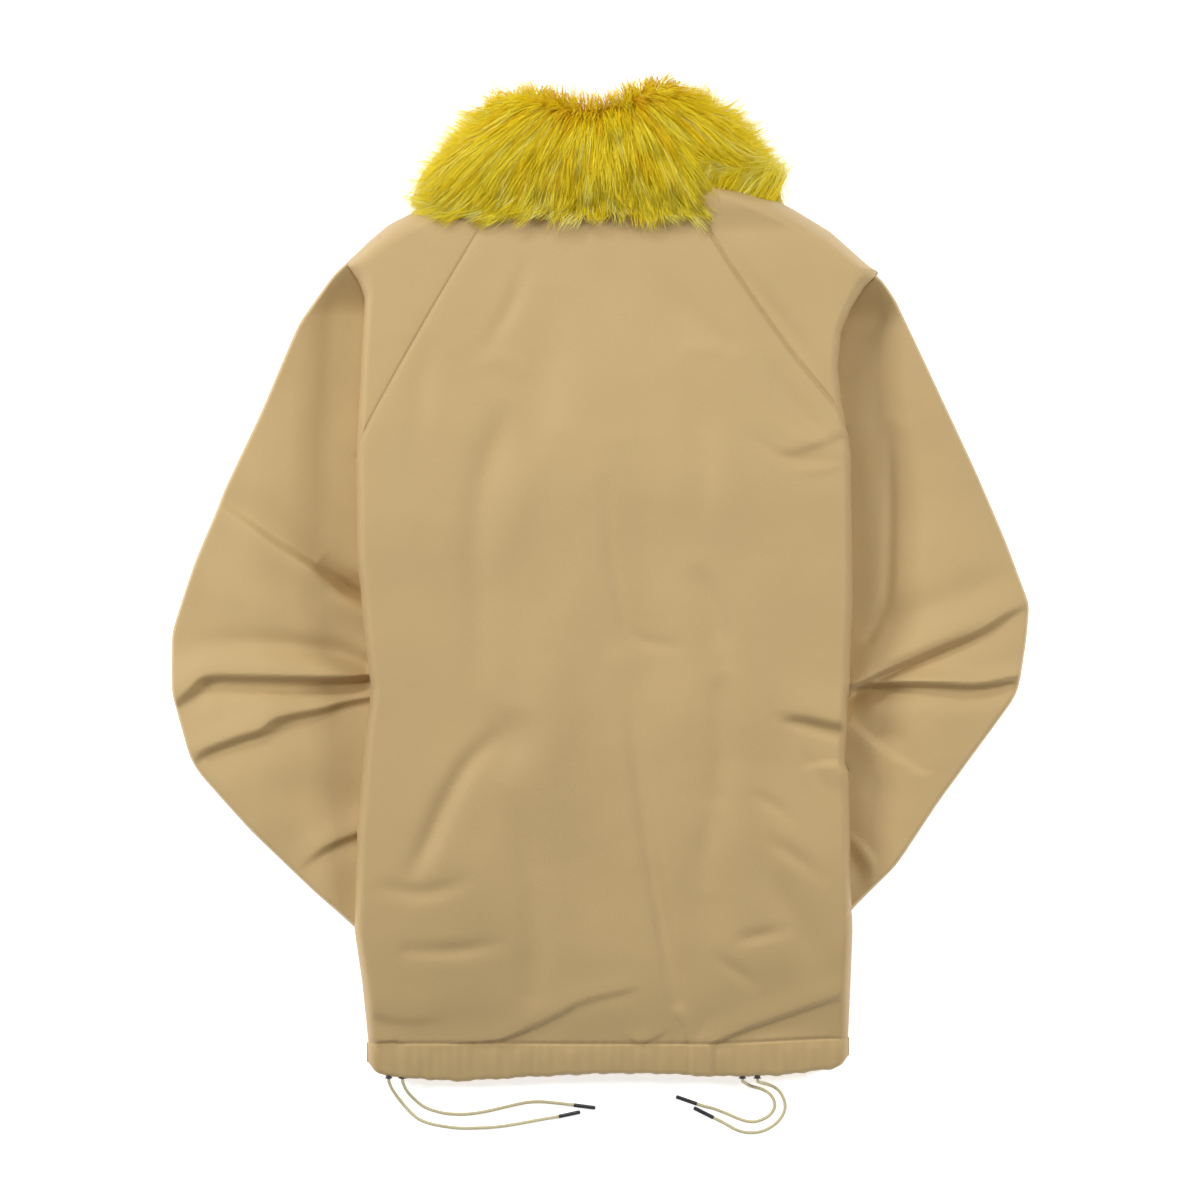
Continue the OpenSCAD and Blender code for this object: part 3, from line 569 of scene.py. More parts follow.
# ---------------------------------------------------------------- back panel and yokes
vs = np.concatenate([np.arange(207, 1030, 3.0), np.arange(1030, 1037, 1.6), np.linspace(1037, 1043.4, 9)])
el, er = EDGE_L(vs), EDGE_R(vs)
lb = np.maximum(np.where(vs < 470, seam_u(SL, vs, EDGE_L, 1), -1e9), el)
rb = np.minimum(np.where(vs < 452, seam_u(SR, vs, EDGE_R, -1), 1e9), er)
rw = np.full(len(vs), 14.0)
U = span(lb, rb, 186, True, True, rw, rw)
V = np.repeat(vs[:, None], U.shape[1], 1)
V = V - 5 * sm(700, 850, U) * sm(1020, 1043, V)
back = grid("back_shell", W(U, V, body_surface(U, V)), M_CLOTH, face=UP)
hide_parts("back_panel")
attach(back, "jacket")
for side in ("left", "right"):
    if side == "left":
        yv = np.arange(206, 469, 2.5)
        a, b = EDGE_L(yv), seam_u(SL, yv, None, 1)
    else:
        yv = np.arange(186, 451, 2.5)
        a, b = EDGE_R(yv), np.where(yv < 193, 681 - (193 - yv) * 0.5, seam_u(SR, yv, None, -1))
    keep = (b - a) * (1 if side == "left" else -1) > 1
    yv, a, b = yv[keep], a[keep], b[keep]
    r = table([180, 225, 262, 300], [44, 44, 32, 13], 8)(yv)
    U = span(a, b, 70, True, True, r, np.full(len(yv), 5.0))
    V = np.repeat(yv[:, None], U.shape[1], 1)
    y = grid(f"{side}_raglan_back", W(U, V, body_surface(U, V)), M_CLOTH, face=UP)
    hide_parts(f"{side}_yoke_back")
    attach(y, "jacket")


# ---------------------------------------------------------------- sleeves
def sleeve_grid(side):
    O, I = (OUT_L, IN_L) if side == "left" else (OUT_R, IN_R)
    both = corner_line(np.column_stack([O, I]))
    acc = np.concatenate([[0], np.cumsum(np.linalg.norm(np.diff(both[:, :2], axis=0), axis=1))])
    n = int(acc[-1] / 3.0)
    s = np.linspace(0, acc[-1], n)
    both = np.column_stack([np.interp(s, acc, both[:, i]) for i in range(4)])
    o, i = both[:, :2], both[:, 2:]
    width = np.linalg.norm(i - o, axis=1)
    def across(k, ra, rb):
        t = span(np.zeros(n), width, k, True, True, np.full(n, ra), np.full(n, rb)) / width[:, None]
        return o[:, None, :] + (i - o)[:, None, :] * t[..., None]
    top = across(84, 5.0, 14.0)
    bot = across(34, 12.0, 12.0)
    out_line, in_line = o[::3], i[::3]
    TU, TV = top[..., 0], top[..., 1]
    dto, dti = near(out_line, TU, TV)[0], near(in_line, TU, TV)[0]
    T = sleeve_top(side, TU, TV)
    zm = 15.0
    zt = zm + (T - zm) * quarter(dti / 15.0)
    BU, BV = bot[..., 0], bot[..., 1]
    dbo, dbi = near(out_line, BU, BV)[0], near(in_line, BU, BV)[0]
    zb = zm - (zm - 1.6) * quarter(dbo / 13.0) * quarter(dbi / 13.0)
    # the underside climbs inside the yoke at the shoulder
    along = (s * np.ones(n))[:, None]
    zb = zb + (26.0 - zb) * (1 - sm(6, 52, along))
    P = np.concatenate([W(TU, TV, zt), W(BU, BV, zb)[:, ::-1][:, 1:-1]], 1)
    return P, o


def inner_tube(side, P, k):
    """The sleeve's lining, a little inside its shell."""
    N = grid_normals(P, close=True)
    if ((P - P.mean(1, keepdims=True)) * N).sum(-1).mean() < 0:
        N = -N
    Q = (P - 0.0034 * N)[::2, ::2]
    n = k // 2
    a = grid(f"{side}_sleeve_lining_upper", Q, M_LINING, close=True, part=slice(0, n + 1))
    b = grid(f"{side}_sleeve_lining_lower", Q, M_LINING, close=True, part=slice(n, None))
    return a, b


for side in ("left", "right"):
    P, o = sleeve_grid(side)
    k = int(np.argmin(np.abs(o[:len(o) // 2, 1] - 478)))
    up = grid(f"{side}_sleeve_upper", P, M_CLOTH, close=True, normals=True, part=slice(0, k + 1))
    lo = grid(f"{side}_sleeve_lower", P, M_CLOTH, close=True, normals=True, part=slice(k, None))
    la, lb_ = inner_tube(side, P, k)
    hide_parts(f"{side}_upper_lining")
    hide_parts(f"{side}_forearm_lining")
    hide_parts(f"{side}_upper_sleeve")
    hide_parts(f"{side}_forearm")
    for q in (up, la):
        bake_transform(q)
    for q in (lo, lb_):
        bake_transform(q)


# ---------------------------------------------------------------- fronts, underneath
def under(side, U, V, lift=0.0):
    """Height of the front's outer face: on the floor in the middle, up to the side fold, and over the forearm."""
    line = OUTER_L if side == "left" else OUTER_R
    I, O, sgn = (IN_L, OUT_L, 1) if side == "left" else (IN_R, OUT_R, -1)
    e = EDGE_L(V) if side == "left" else EDGE_R(V)
    d = near(line, U, V)[0] * 0.87
    d = np.where(sgn * (U - e) < 0, 0, d)
    m = sm(290, 335, V) * (1 - sm(900, 935, V))
    lo = edge_low(side, V)
    z = 1.7 + (lo - 1.7) * (1 - quarter((d - 16 * m) / 42.0))
    P = list(I) + [O[-1], (O[-1][0] - sgn * 60, O[-1][1] + 50)]
    n = near(P, U, V)[1] * sgn
    T = sleeve_top(side, U, V) + 2.6
    over = T * sm(-30, 0, n) * sm(-6, 6, sgn * (U - e)) * sm(256, 292, V)
    over = np.where(V > 600, over, over * sm(0, 1, n + 22))
    h = np.clip(0.5 + 0.5 * (z - over) / 5.0, 0, 1)
    z = over * (1 - h) + z * h + 5.0 * h * (1 - h)
    z = np.minimum(z, body_surface(U, V) - 3.0)
    x = (U - CX) * 0.87
    z = z + waves(U, V, 8, 70, 300, 0.5, 31) * sm(2, 14, z)
    if side == "right":
        z = z + 3.4 * (1 - sm(16, 60, np.abs(x)))
    return z + lift


bl_u0, bl_u1 = EDGE_L(vs) + 12, EDGE_R(vs) - 12
keep = vs > 214
LV_ = vs[keep][::2]
U = span(bl_u0[keep][::2], bl_u1[keep][::2], 90, True, True, np.full(len(LV_), 16.0), np.full(len(LV_), 16.0))
V = np.repeat(LV_[:, None], U.shape[1], 1)
o = grid("back_lining_cloth", W(U, V, np.maximum(body_surface(U, V) - 3.4, 8)), M_LINING, face=DOWN)
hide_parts("back_lining")
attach(o, "jacket")

for side in ("left", "right"):
    sgn = 1 if side == "left" else -1
    E = EDGE_L if side == "left" else EDGE_R
    S = SL if side == "left" else SR
    top = 217
    fv = np.concatenate([np.arange(top, 1044, 4.0), [1045.0]])
    seam_end = 470 if side == "left" else 452
    a = E(fv)
    su = seam_u(S, fv, None, 1)
    a = np.where(fv < seam_end, np.maximum(sgn * su, sgn * a) * sgn, a)
    b = np.full(len(fv), 600 + sgn * 18.0)
    U = span(a, b, 96, True, False, np.full(len(fv), 16.0), None)
    V = np.repeat(fv[:, None], U.shape[1], 1)
    Z = under(side, U, V)
    # the front edge is turned under
    P = W(U, V, Z)
    turn = np.stack([P[:, -1] + [sgn * 0.0006, 0, 0.0004], P[:, -1] + [sgn * 0.0009, 0, 0.0011], P[:, -1] + [0.0, 0, 0.0016], P[:, -1] + [-sgn * 0.014, 0, 0.0015]], 1)
    P = np.concatenate([P, turn], 1)
    f = grid(f"{side}_front_cloth", P, M_CLOTH, face=DOWN)
    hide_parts(f"{side}_front")
    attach(f, "jacket")
    # raglan part of the front
    yv = np.arange(206 if side == "left" else 186, seam_end - 1, 4.0)
    a, b = E(yv), seam_u(S, yv, None, 1)
    keep = (b - a) * sgn > 1
    yv, a, b = yv[keep], a[keep], b[keep]
    U = span(a, b, 46, True, False, np.full(len(yv), 16.0), None)
    V = np.repeat(yv[:, None], U.shape[1], 1)
    y = grid(f"{side}_raglan_front", W(U, V, under(side, U, V)), M_CLOTH, face=DOWN)
    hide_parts(f"{side}_yoke_front")
    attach(y, "jacket")
    # lining of the front
    lv = np.arange(218, 1042, 6.0)
    a = E(lv) + sgn * 28
    b = np.full(len(lv), 600 - sgn * 38.0)
    U = span(a, b, 60, True, False, np.full(len(lv), 16.0), None)
    V = np.repeat(lv[:, None], U.shape[1], 1)
    o = grid(f"{side}_front_lining_cloth", W(U, V, np.minimum(under(side, U, V) + 2.8, body_surface(U, V) - 5.5)), M_LINING, face=UP)
    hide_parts(f"{side}_front_lining")
    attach(o, "jacket")


# ---------------------------------------------------------------- hem casings
HEM_ = table([352, 366, 368, 374, 380, 392, 460, 520, 600, 660, 715, 780, 835, 842, 848, 852],
            [1060, 1062, 1064, 1071, 1074.5, 1078, 1082, 1078, 1074, 1074, 1077, 1076, 1069, 1066, 1057, 1054], 2.0, 340, 870)


def HEM(u):
    return HEM_(u) + 0.5 * np.sin(u * 0.19 + 2 * np.sin(u * 0.031)) + 0.35 * np.sin(u * 0.47 + 1.0)


def stitch_v(u):
    return 1043.0 - 5 * sm(700, 850, u)


def casing(name, u, top_z, bot_z, ends):
    """A flat tube from the stitch line to the hem, soft where it turns."""
    n_t, n_b = 22, 14
    hv, sv = HEM(u), stitch_v(u) + 0.2
    t = 1 - (1 - np.linspace(0, 1, n_t)) ** 1.6
    VT = sv[:, None] + (hv - sv)[:, None] * t[None, :]
    UT = np.repeat(u[:, None], n_t, 1)
    zt = top_z(UT, VT)
    zb = bot_z(UT, VT)
    mid = 0.5 * (zt + zb)
    puff = 0.7 * np.sin(np.pi * np.clip(t * 1.05, 0, 1)) * (1 + 0.5 * np.sin(UT * 0.21 + 1.3 * np.sin(UT * 0.047)))
    end = quarter((hv[:, None] - VT) / 4.5)
    zt = mid + (zt + puff * sm(0.02, 0.3, t) - mid) * end
    tb = t[::-1][:: max(1, n_t // n_b)][1:]
    VB = sv[:, None] + (hv - sv)[:, None] * tb[None, :]
    UB = np.repeat(u[:, None], len(tb), 1)
    z1 = bot_z(UB, VB)
    m1 = 0.5 * (top_z(UB, VB) + z1)
    endb = quarter((hv[:, None] - VB) / 4.5)
    z1 = m1 - (m1 - z1) * endb
    P = np.concatenate([W(UT, VT, zt), W(UB, VB, z1)], 1)
    return grid(name, P, M_CLOTH, close=True)


uh = np.concatenate([np.linspace(366.4, 372, 8), np.arange(374, 842, 2.6), np.linspace(842.5, 849.5, 9)])


def hem_top(U, V):
    sv = stitch_v(U)
    at = body_surface(U, np.minimum(V, sv))
    drop = 0.17 * np.clip(V - sv, 0, None) + waves(U, V * 0.3, 8, 22, 90, 0.7, 41) * sm(0, 10, V - sv)
    keep = quarter(np.minimum(U - 365.2, 850.8 - U) / 12.0)
    return np.maximum(at + 0.5 * sm(0, 3, V - sv) - drop * keep, 14.2)


hem = casing("hem_casing_back_cloth", uh, hem_top, lambda U, V: 13.6 + 0 * U, True)
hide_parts("hem_casing_back")
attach(hem, "jacket")
for side in ("left", "right"):
    sgn = 1 if side == "left" else -1
    uu = np.arange(369, 561, 3.0) if side == "left" else np.arange(639, 848, 3.0)

    def fb(U, V, side=side):
        dl = np.minimum(np.abs(U - 367.0), np.abs(850.0 - U)) * 0.87
        return 1.7 + 10.5 * (1 - quarter(dl / 30.0))

    def ft(U, V, side=side):
        return np.minimum(fb(U, V) + 6.2 + 0.4 * np.sin(U * 0.23), 12.9)
    c = casing(f"hem_casing_{side}_cloth", uu, ft, fb, True)
    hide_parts(f"hem_casing_{side}")
    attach(c, "jacket")


# ---------------------------------------------------------------- small cloth parts
def ribbon(name, rows, mat, slot="cloth", close=False, face=DOWN):
    return grid(name, np.asarray(rows, float), mat, close=close, face=face)


def slab(name, x0, x1, y0, y1, z0, z1, mat, nx=10, ny=40, puff=0.0, seed=1, round_=0.0015):
    """A flat sewn strip with rolled edges."""
    r = np.random.RandomState(seed)
    a = np.linspace(0, 2 * np.pi, 2 * nx, endpoint=False)
    hx, hz = (x1 - x0) / 2, (z1 - z0) / 2
    cx = np.sign(np.cos(a)) * np.abs(np.cos(a)) ** 0.35 * hx
    cz = np.sign(np.sin(a)) * np.abs(np.sin(a)) ** 0.7 * hz
    ys = np.linspace(y0, y1, ny)
    end = quarter(np.minimum(ys - y0, y1 - ys) / 0.004) * 0.12 + 0.88
    end[0] = end[-1] = 0.8
    ph = r.uniform(0, 6)
    bulge = 1 + puff * np.sin(np.linspace(0, 3.1416, ny))
    P = np.zeros((ny, len(a), 3))
    P[..., 0] = (x0 + x1) / 2 + cx[None, :] * end[:, None]
    P[..., 1] = ys[:, None]
    P[..., 2] = (z0 + z1) / 2 + cz[None, :] * end[:, None] * bulge[:, None] * (0.94 + 0.06 * np.sin(ys * 260 + ph))[:, None]
    o = grid(name, P, mat, close=True)
    bm_fill(o, ny, len(a))
    return o


def bm_fill(o, rows, cols):
    import bmesh
    bm = bmesh.new()
    bm.from_mesh(o.data)
    bm.verts.ensure_lookup_table()
    for r0, rev in ((0, False), ((rows - 1) * cols, True)):
        loop = [bm.verts[r0 + i] for i in range(cols)]
        f = bm.faces.new(loop if rev else loop[::-1])
        f.smooth = True
    bmesh.ops.recalc_face_normals(bm, faces=bm.faces)
    bm.to_mesh(o.data)
    bm.free()


for s, side in ((-1, "left"), (1, "right")):
    xs = sorted((s * 0.106, s * 0.1256))
    o = slab(f"{side}_welt_cloth", xs[0], xs[1], -0.044, 0.104, 0.0003, 0.0017, M_CLOTH, seed=3)
    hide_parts(f"{side}_pocket_welt")
    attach(o, "jacket")
    xs = sorted((s * 0.054, s * 0.137))
    o = slab(f"{side}_pocket_bag_cloth", xs[0], xs[1], -0.070, 0.104, 0.0062, 0.0108, M_LINING, nx=14, puff=0.2, seed=4)
    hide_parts(f"{side}_pocket_bag")
    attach(o, "jacket")
o = slab("placket_facing_cloth", -0.013, 0.013, -0.398, 0.3165, 0.0028, 0.0034, M_CLOTH, ny=120, seed=5)
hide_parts("placket_facing")
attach(o, "jacket")
o = slab("size_label_tape", -0.022, 0.022, 0.284, 0.312, 0.0772, 0.0780, M_LABEL, ny=24, seed=6)
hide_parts("size_label")
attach(o, "jacket")


# ---------------------------------------------------------------- cuffs
for s, side in ((-1, "left"), (1, "right")):
    fd = np.array([-s * 0.6157, -0.788])
    fn = np.array([s * 0.788, -0.616])
    piv = np.array([s * 0.298, -0.090])

    def tube_at(ts, half, zh, zc, ribs, amp, n=120):
        a = np.linspace(0, 2 * np.pi, n, endpoint=False)
        P = np.zeros((len(ts), n, 3))
        for i, (t, g) in enumerate(ts):
            rr = 1 + amp * np.cos(ribs * a + 0.6 * np.sin(3 * a)) * g
            cx = np.sign(np.cos(a)) * np.abs(np.cos(a)) ** 0.8 * half * rr
            cz = np.sign(np.sin(a)) * np.abs(np.sin(a)) ** 0.8 * zh * rr
            c = piv + fd * t
            P[i, :, 0] = c[0] + fn[0] * cx
            P[i, :, 1] = c[1] + fn[1] * cx
            P[i, :, 2] = zc + cz
        return P
    st = [(0.2755, 0.2), (0.278, 0.7), (0.282, 1), (0.286, 1), (0.290, 1), (0.294, 1), (0.297, 0.8), (0.2992, 0.5), (0.300, 0.3)]
    out = tube_at(st, 0.0572, 0.0158, 0.0172, 46, 0.018)
    inn = tube_at([(t, g * 0.6) for t, g in st[::-1]], 0.0556, 0.0142, 0.0172, 46, 0.018)
    P = np.concatenate([out, inn], 0)
    o = grid(f"{side}_cuff_cloth", P, M_CLOTH, close=True)
    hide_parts(f"{side}_cuff")
    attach(o, f"{side}_lower_arm")
    ee = tube_at([(0.2795, 1), (0.283, 1), (0.288, 1), (0.293, 1), (0.297, 1)], 0.0552, 0.0138, 0.0172, 46, 0.012)
    o = grid(f"{side}_cuff_elastic_band", ee, M_ELASTIC, close=True)
    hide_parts(f"{side}_cuff_elastic")
    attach(o, f"{side}_lower_arm")


# ---------------------------------------------------------------- neck: stand, undercollar, loop
def oval(th, ax, az, zc=0.047):
    return np.stack([ax * np.sin(th), zc + az * np.cos(th)], -1)


th = np.linspace(-2.78, 2.78, 120)
rows = []
for y, gr in ((0.3185, 0.0), (0.324, 0.0005), (0.338, 0.0007), (0.352, 0.0006), (0.366, 0.0003), (0.374, 0.0), (0.378, -0.0006)):
    p = oval(th, 0.0876 + gr, 0.0408 + gr)
    rows.append(np.column_stack([p[:, 0], np.full(len(th), y), p[:, 1]]))
for y, gr in ((0.378, -0.0020), (0.366, -0.0022), (0.345, -0.0022), (0.3185, -0.0020)):
    p = oval(th, 0.0876 + gr, 0.0408 + gr)
    rows.append(np.column_stack([p[:, 0], np.full(len(th), y), p[:, 1]]))
o = grid("collar_stand_cloth", np.array(rows), M_CLOTH, face=UP)
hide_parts("collar_stand")
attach(o, "jacket")

loop_pts = [(-0.030, 0.3225, 0.0795), (-0.026, 0.3235, 0.0772), (-0.016, 0.3255, 0.0752), (0, 0.3265, 0.0742), (0.016, 0.3255, 0.0752), (0.026, 0.3235, 0.0772), (0.030, 0.3225, 0.0795)]
lp = smooth_line(loop_pts, per=8)
P = np.zeros((len(lp), 16, 3))
a = np.linspace(0, 2 * np.pi, 16, endpoint=False)
for i, c in enumerate(lp):
    P[i, :, 0] = c[0]
    P[i, :, 1] = c[1] + 0.0026 * np.cos(a)
    P[i, :, 2] = c[2] + 0.0006 * np.sin(a)
o = grid("hang_loop_tape", P, M_CLOTH, close=True)
bm_fill(o, len(lp), 16)
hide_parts("hang_loop")
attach(o, "jacket")


# ---------------------------------------------------------------- cords
def route(XY, z0):
    out = []
    for i, (x, y) in enumerate(XY):
        z = z0 if i < 2 else 1.6 + (z0 - 1.6) * (1 - float(sm(0, 3.2, i - 1)))
        out.append((x * 0.001, y * 0.001, z * 0.001))
    return out


A_XY = [(-184, -406), (-184, -432), (-183, -438), (-180, -445), (-173, -455), (-165, -464), (-157, -470), (-145, -474), (-125, -477), (-108, -477), (-90, -476), (-70, -473), (-54, -470), (-36, -467)]
B_XY = [(-172, -406), (-172, -432), (-171, -438), (-168, -445), (-161, -453), (-153, -459), (-143, -462.5), (-133, -464.5), (-118, -465), (-102, -463), (-84, -459), (-66, -455), (-54, -454), (-40, -455), (-23, -457)]
C_XY = [(124, -406), (124, -432), (126, -436), (132, -440), (141, -443), (148, -447), (152, -453), (152.5, -459), (149, -465), (142, -469.5), (134, -471.5), (124, -470), (112, -465), (99, -460), (91, -458), (84.5, -456)]
D_XY = [(137, -406), (137, -432), (139, -436), (145, -438), (152, -441), (157.5, -446), (161, -453), (161.5, -461), (157.5, -469), (150.5, -475.5), (141, -480), (130, -481), (120, -479), (108, -472.5), (99, -468)]


def curve(name, pts, r, mat):
    c = bpy.data.curves.new(name, "CURVE")
    c.dimensions = "3D"
    sp = c.splines.new("POLY")
    sp.points.add(len(pts) - 1)
    for p, q in zip(sp.points, pts):
        p.co = (*q, 1)
    c.bevel_depth = r
    c.bevel_resolution = 4
    c.use_fill_caps = True
    c.materials.append(mat)
    o = bpy.data.objects.new(name, c)
    scene.collection.objects.link(o)
    return o


for key, XY, z0, body in (("a", A_XY, 18.8, "left_cords"), ("b", B_XY, 19.5, "left_cords"), ("c", C_XY, 19.5, "right_cords"), ("d", D_XY, 19.5, "right_cords")):
    pts = smooth_line(route(XY, z0), per=3)
    keep = pts[2:]
    o = curve(f"hem_cord_{key}", [tuple(p) for p in keep], 0.0015, M_CORD)
    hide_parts(f"cord_end_{key}")
    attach(o, body)
hc = curve("hem_drawcord_run", [(x * 0.001, (-417.5 + 0.5 * math.sin(x * 0.06)) * 0.001, 0.0196) for x in range(-158, 115, 8)], 0.0013, M_CORD)
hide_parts("hem_drawcord")
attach(hc, "jacket")
fc = curve("front_drawcord_left", [(x * 0.001, -0.4175, 0.0051) for x in range(-188, -36, 8)], 0.0013, M_CORD)
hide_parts("front_drawcords")
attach(fc, "jacket")
fc = curve("front_drawcord_right", [(x * 0.001, -0.4175, 0.0051) for x in range(40, 190, 8)], 0.0013, M_CORD)
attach(fc, "jacket")
for n in ("snap_caps", "snap_posts", "snap_sockets", "snap_studs", "hem_eyelets", "aglet_a", "aglet_b", "aglet_c", "aglet_d"):
    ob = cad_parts[n]
    ob.data.materials.clear()
    ob.data.materials.append(M_METAL)


# ---------------------------------------------------------------- collar: skin, undercollar and pile
def srgb(r, g, b):
    f = lambda c: (c / 255.0 / 12.92) if c <= 10 else ((c / 255.0 + 0.055) / 1.055) ** 2.4
    return (f(r), f(g), f(b))


def pile(name, rgb, rough=0.5, spec=0.5):
    m, p = principled(name, srgb(*rgb), rough, spec=spec)
    p.inputs["Sheen Weight"].default_value = 0.0
    # Every pile material, the backing skin too, glows faintly in its own colour: painted light, standing in for light
    # passing through the hairs.
    p.inputs["Emission Color"].default_value = (*srgb(*rgb), 1)
    p.inputs["Emission Strength"].default_value = 0.02
    return m


FUR_MATS = [pile("pile_light", (252, 235, 62), 0.45, 0.3), pile("pile_yellow", (250, 225, 22), 0.5, 0.3), pile("pile_gold", (246, 208, 10), 0.5, 0.3), pile("pile_ochre", (230, 180, 8), 0.55, 0.3), pile("pile_pale", (255, 246, 140), 0.42, 0.35)]
M_SKIN = pile("pile_skin", (222, 178, 10), 0.8)

ROLL_L = table([0, 20, 40, 60, 75, 90, 110, 135, 170], [402, 405, 412, 410, 402, 392, 382, 370, 362], 4, -2, 175)
ROLL_R = table([0, 14, 30, 48, 60, 75, 90, 110, 135, 170], [402, 409, 418, 418, 412, 404, 396, 384, 370, 362], 4, -2, 175)
AX_L = table([300, 319, 345, 362, 375, 385, 402, 414, 425, 440], [140, 141, 135, 124, 112, 102, 91, 80, 67, 53], 4, 280, 460)
AX_R = table([300, 319, 341, 363, 385, 396, 409, 422, 440], [147, 147, 142, 129, 112, 98, 85, 73, 58], 4, 280, 460)


def collar_point(phi, b):
    """A point of the collar's skin in mm: phi degrees round the neck from the top, b from the neck seam 0 to the roll 1 and over it."""
    a = np.abs(phi)
    left = phi < 0
    roll = np.where(left, ROLL_L(a), ROLL_R(a))
    bb = np.clip(b, 0, 1)
    y = 319.0 + (roll - 319.0) * np.where(b < 0, b, np.where(b > 1, 1 - 0.35 * np.maximum(b - 1, 0) ** 1.2 * 3, np.sin(bb * np.pi / 2 * 0.98) ** 0.92))
    ax = np.where(left, AX_L(np.maximum(y, 319)), AX_R(np.maximum(y, 319)))
    over = np.clip(b - 0.9, 0, 1)
    ax = ax - 60 * over - np.where(b < 0, 0, 0)
    ring = 44 + 7.5 * np.sin(np.pi * np.clip(b, 0.0, 1.0)) ** 0.8 - 34 * over + np.where(b < 0, 6 * b, 0) - 8 * sm(29, 43, a) * sm(0.45, 0.1, b) * np.where(left, 0, 1)
    ang = np.radians(a)
    sn, cs = np.sin(ang), np.cos(ang)
    x = ax * np.abs(sn) ** 0.88 * np.where(left, -1, 1)
    z = 47.0 + ring * np.sign(cs) * np.abs(cs) ** np.where(cs > 0, 0.62, 1.0)
    z = np.maximum(z, 3.0)
    return np.stack([x, y, z], -1)


def collar_normal(phi, b):
    e = 0.6
    p = collar_point(phi, b)
    px = collar_point(phi + e, b) - p
    pb = collar_point(phi, b + 0.01) - p
    n = np.cross(px, pb)
    n /= np.maximum(np.linalg.norm(n, axis=-1, keepdims=True), 1e-9)
    c = np.array([0, 0, 47.0]) * np.ones_like(p)
    c[..., 1] = 345
    s = np.sign(((p - c) * n).sum(-1, keepdims=True))
    s[s == 0] = 1
    return n * s


def skin(name, p0, p1, body):
    ph = np.linspace(p0, p1, max(20, int(abs(p1 - p0) * 0.8)))
    bs = np.linspace(0.0, 1.42, 40)
    PH, B = np.meshgrid(ph, bs, indexing="ij")
    outer = collar_point(PH, B)
    inner = outer - 7.0 * collar_normal(PH, B) * quarter(np.minimum(B / 0.12, (1.42 - B) / 0.12))[..., None]
    P = np.concatenate([outer, inner[:, ::-1][:, 1:-1]], 1) * 0.001
    o = grid(name, P, M_SKIN, close=True)
    if abs(p0) > 1 or abs(p1) > 1:
        bm_fill(o, P.shape[0], P.shape[1])
    return o


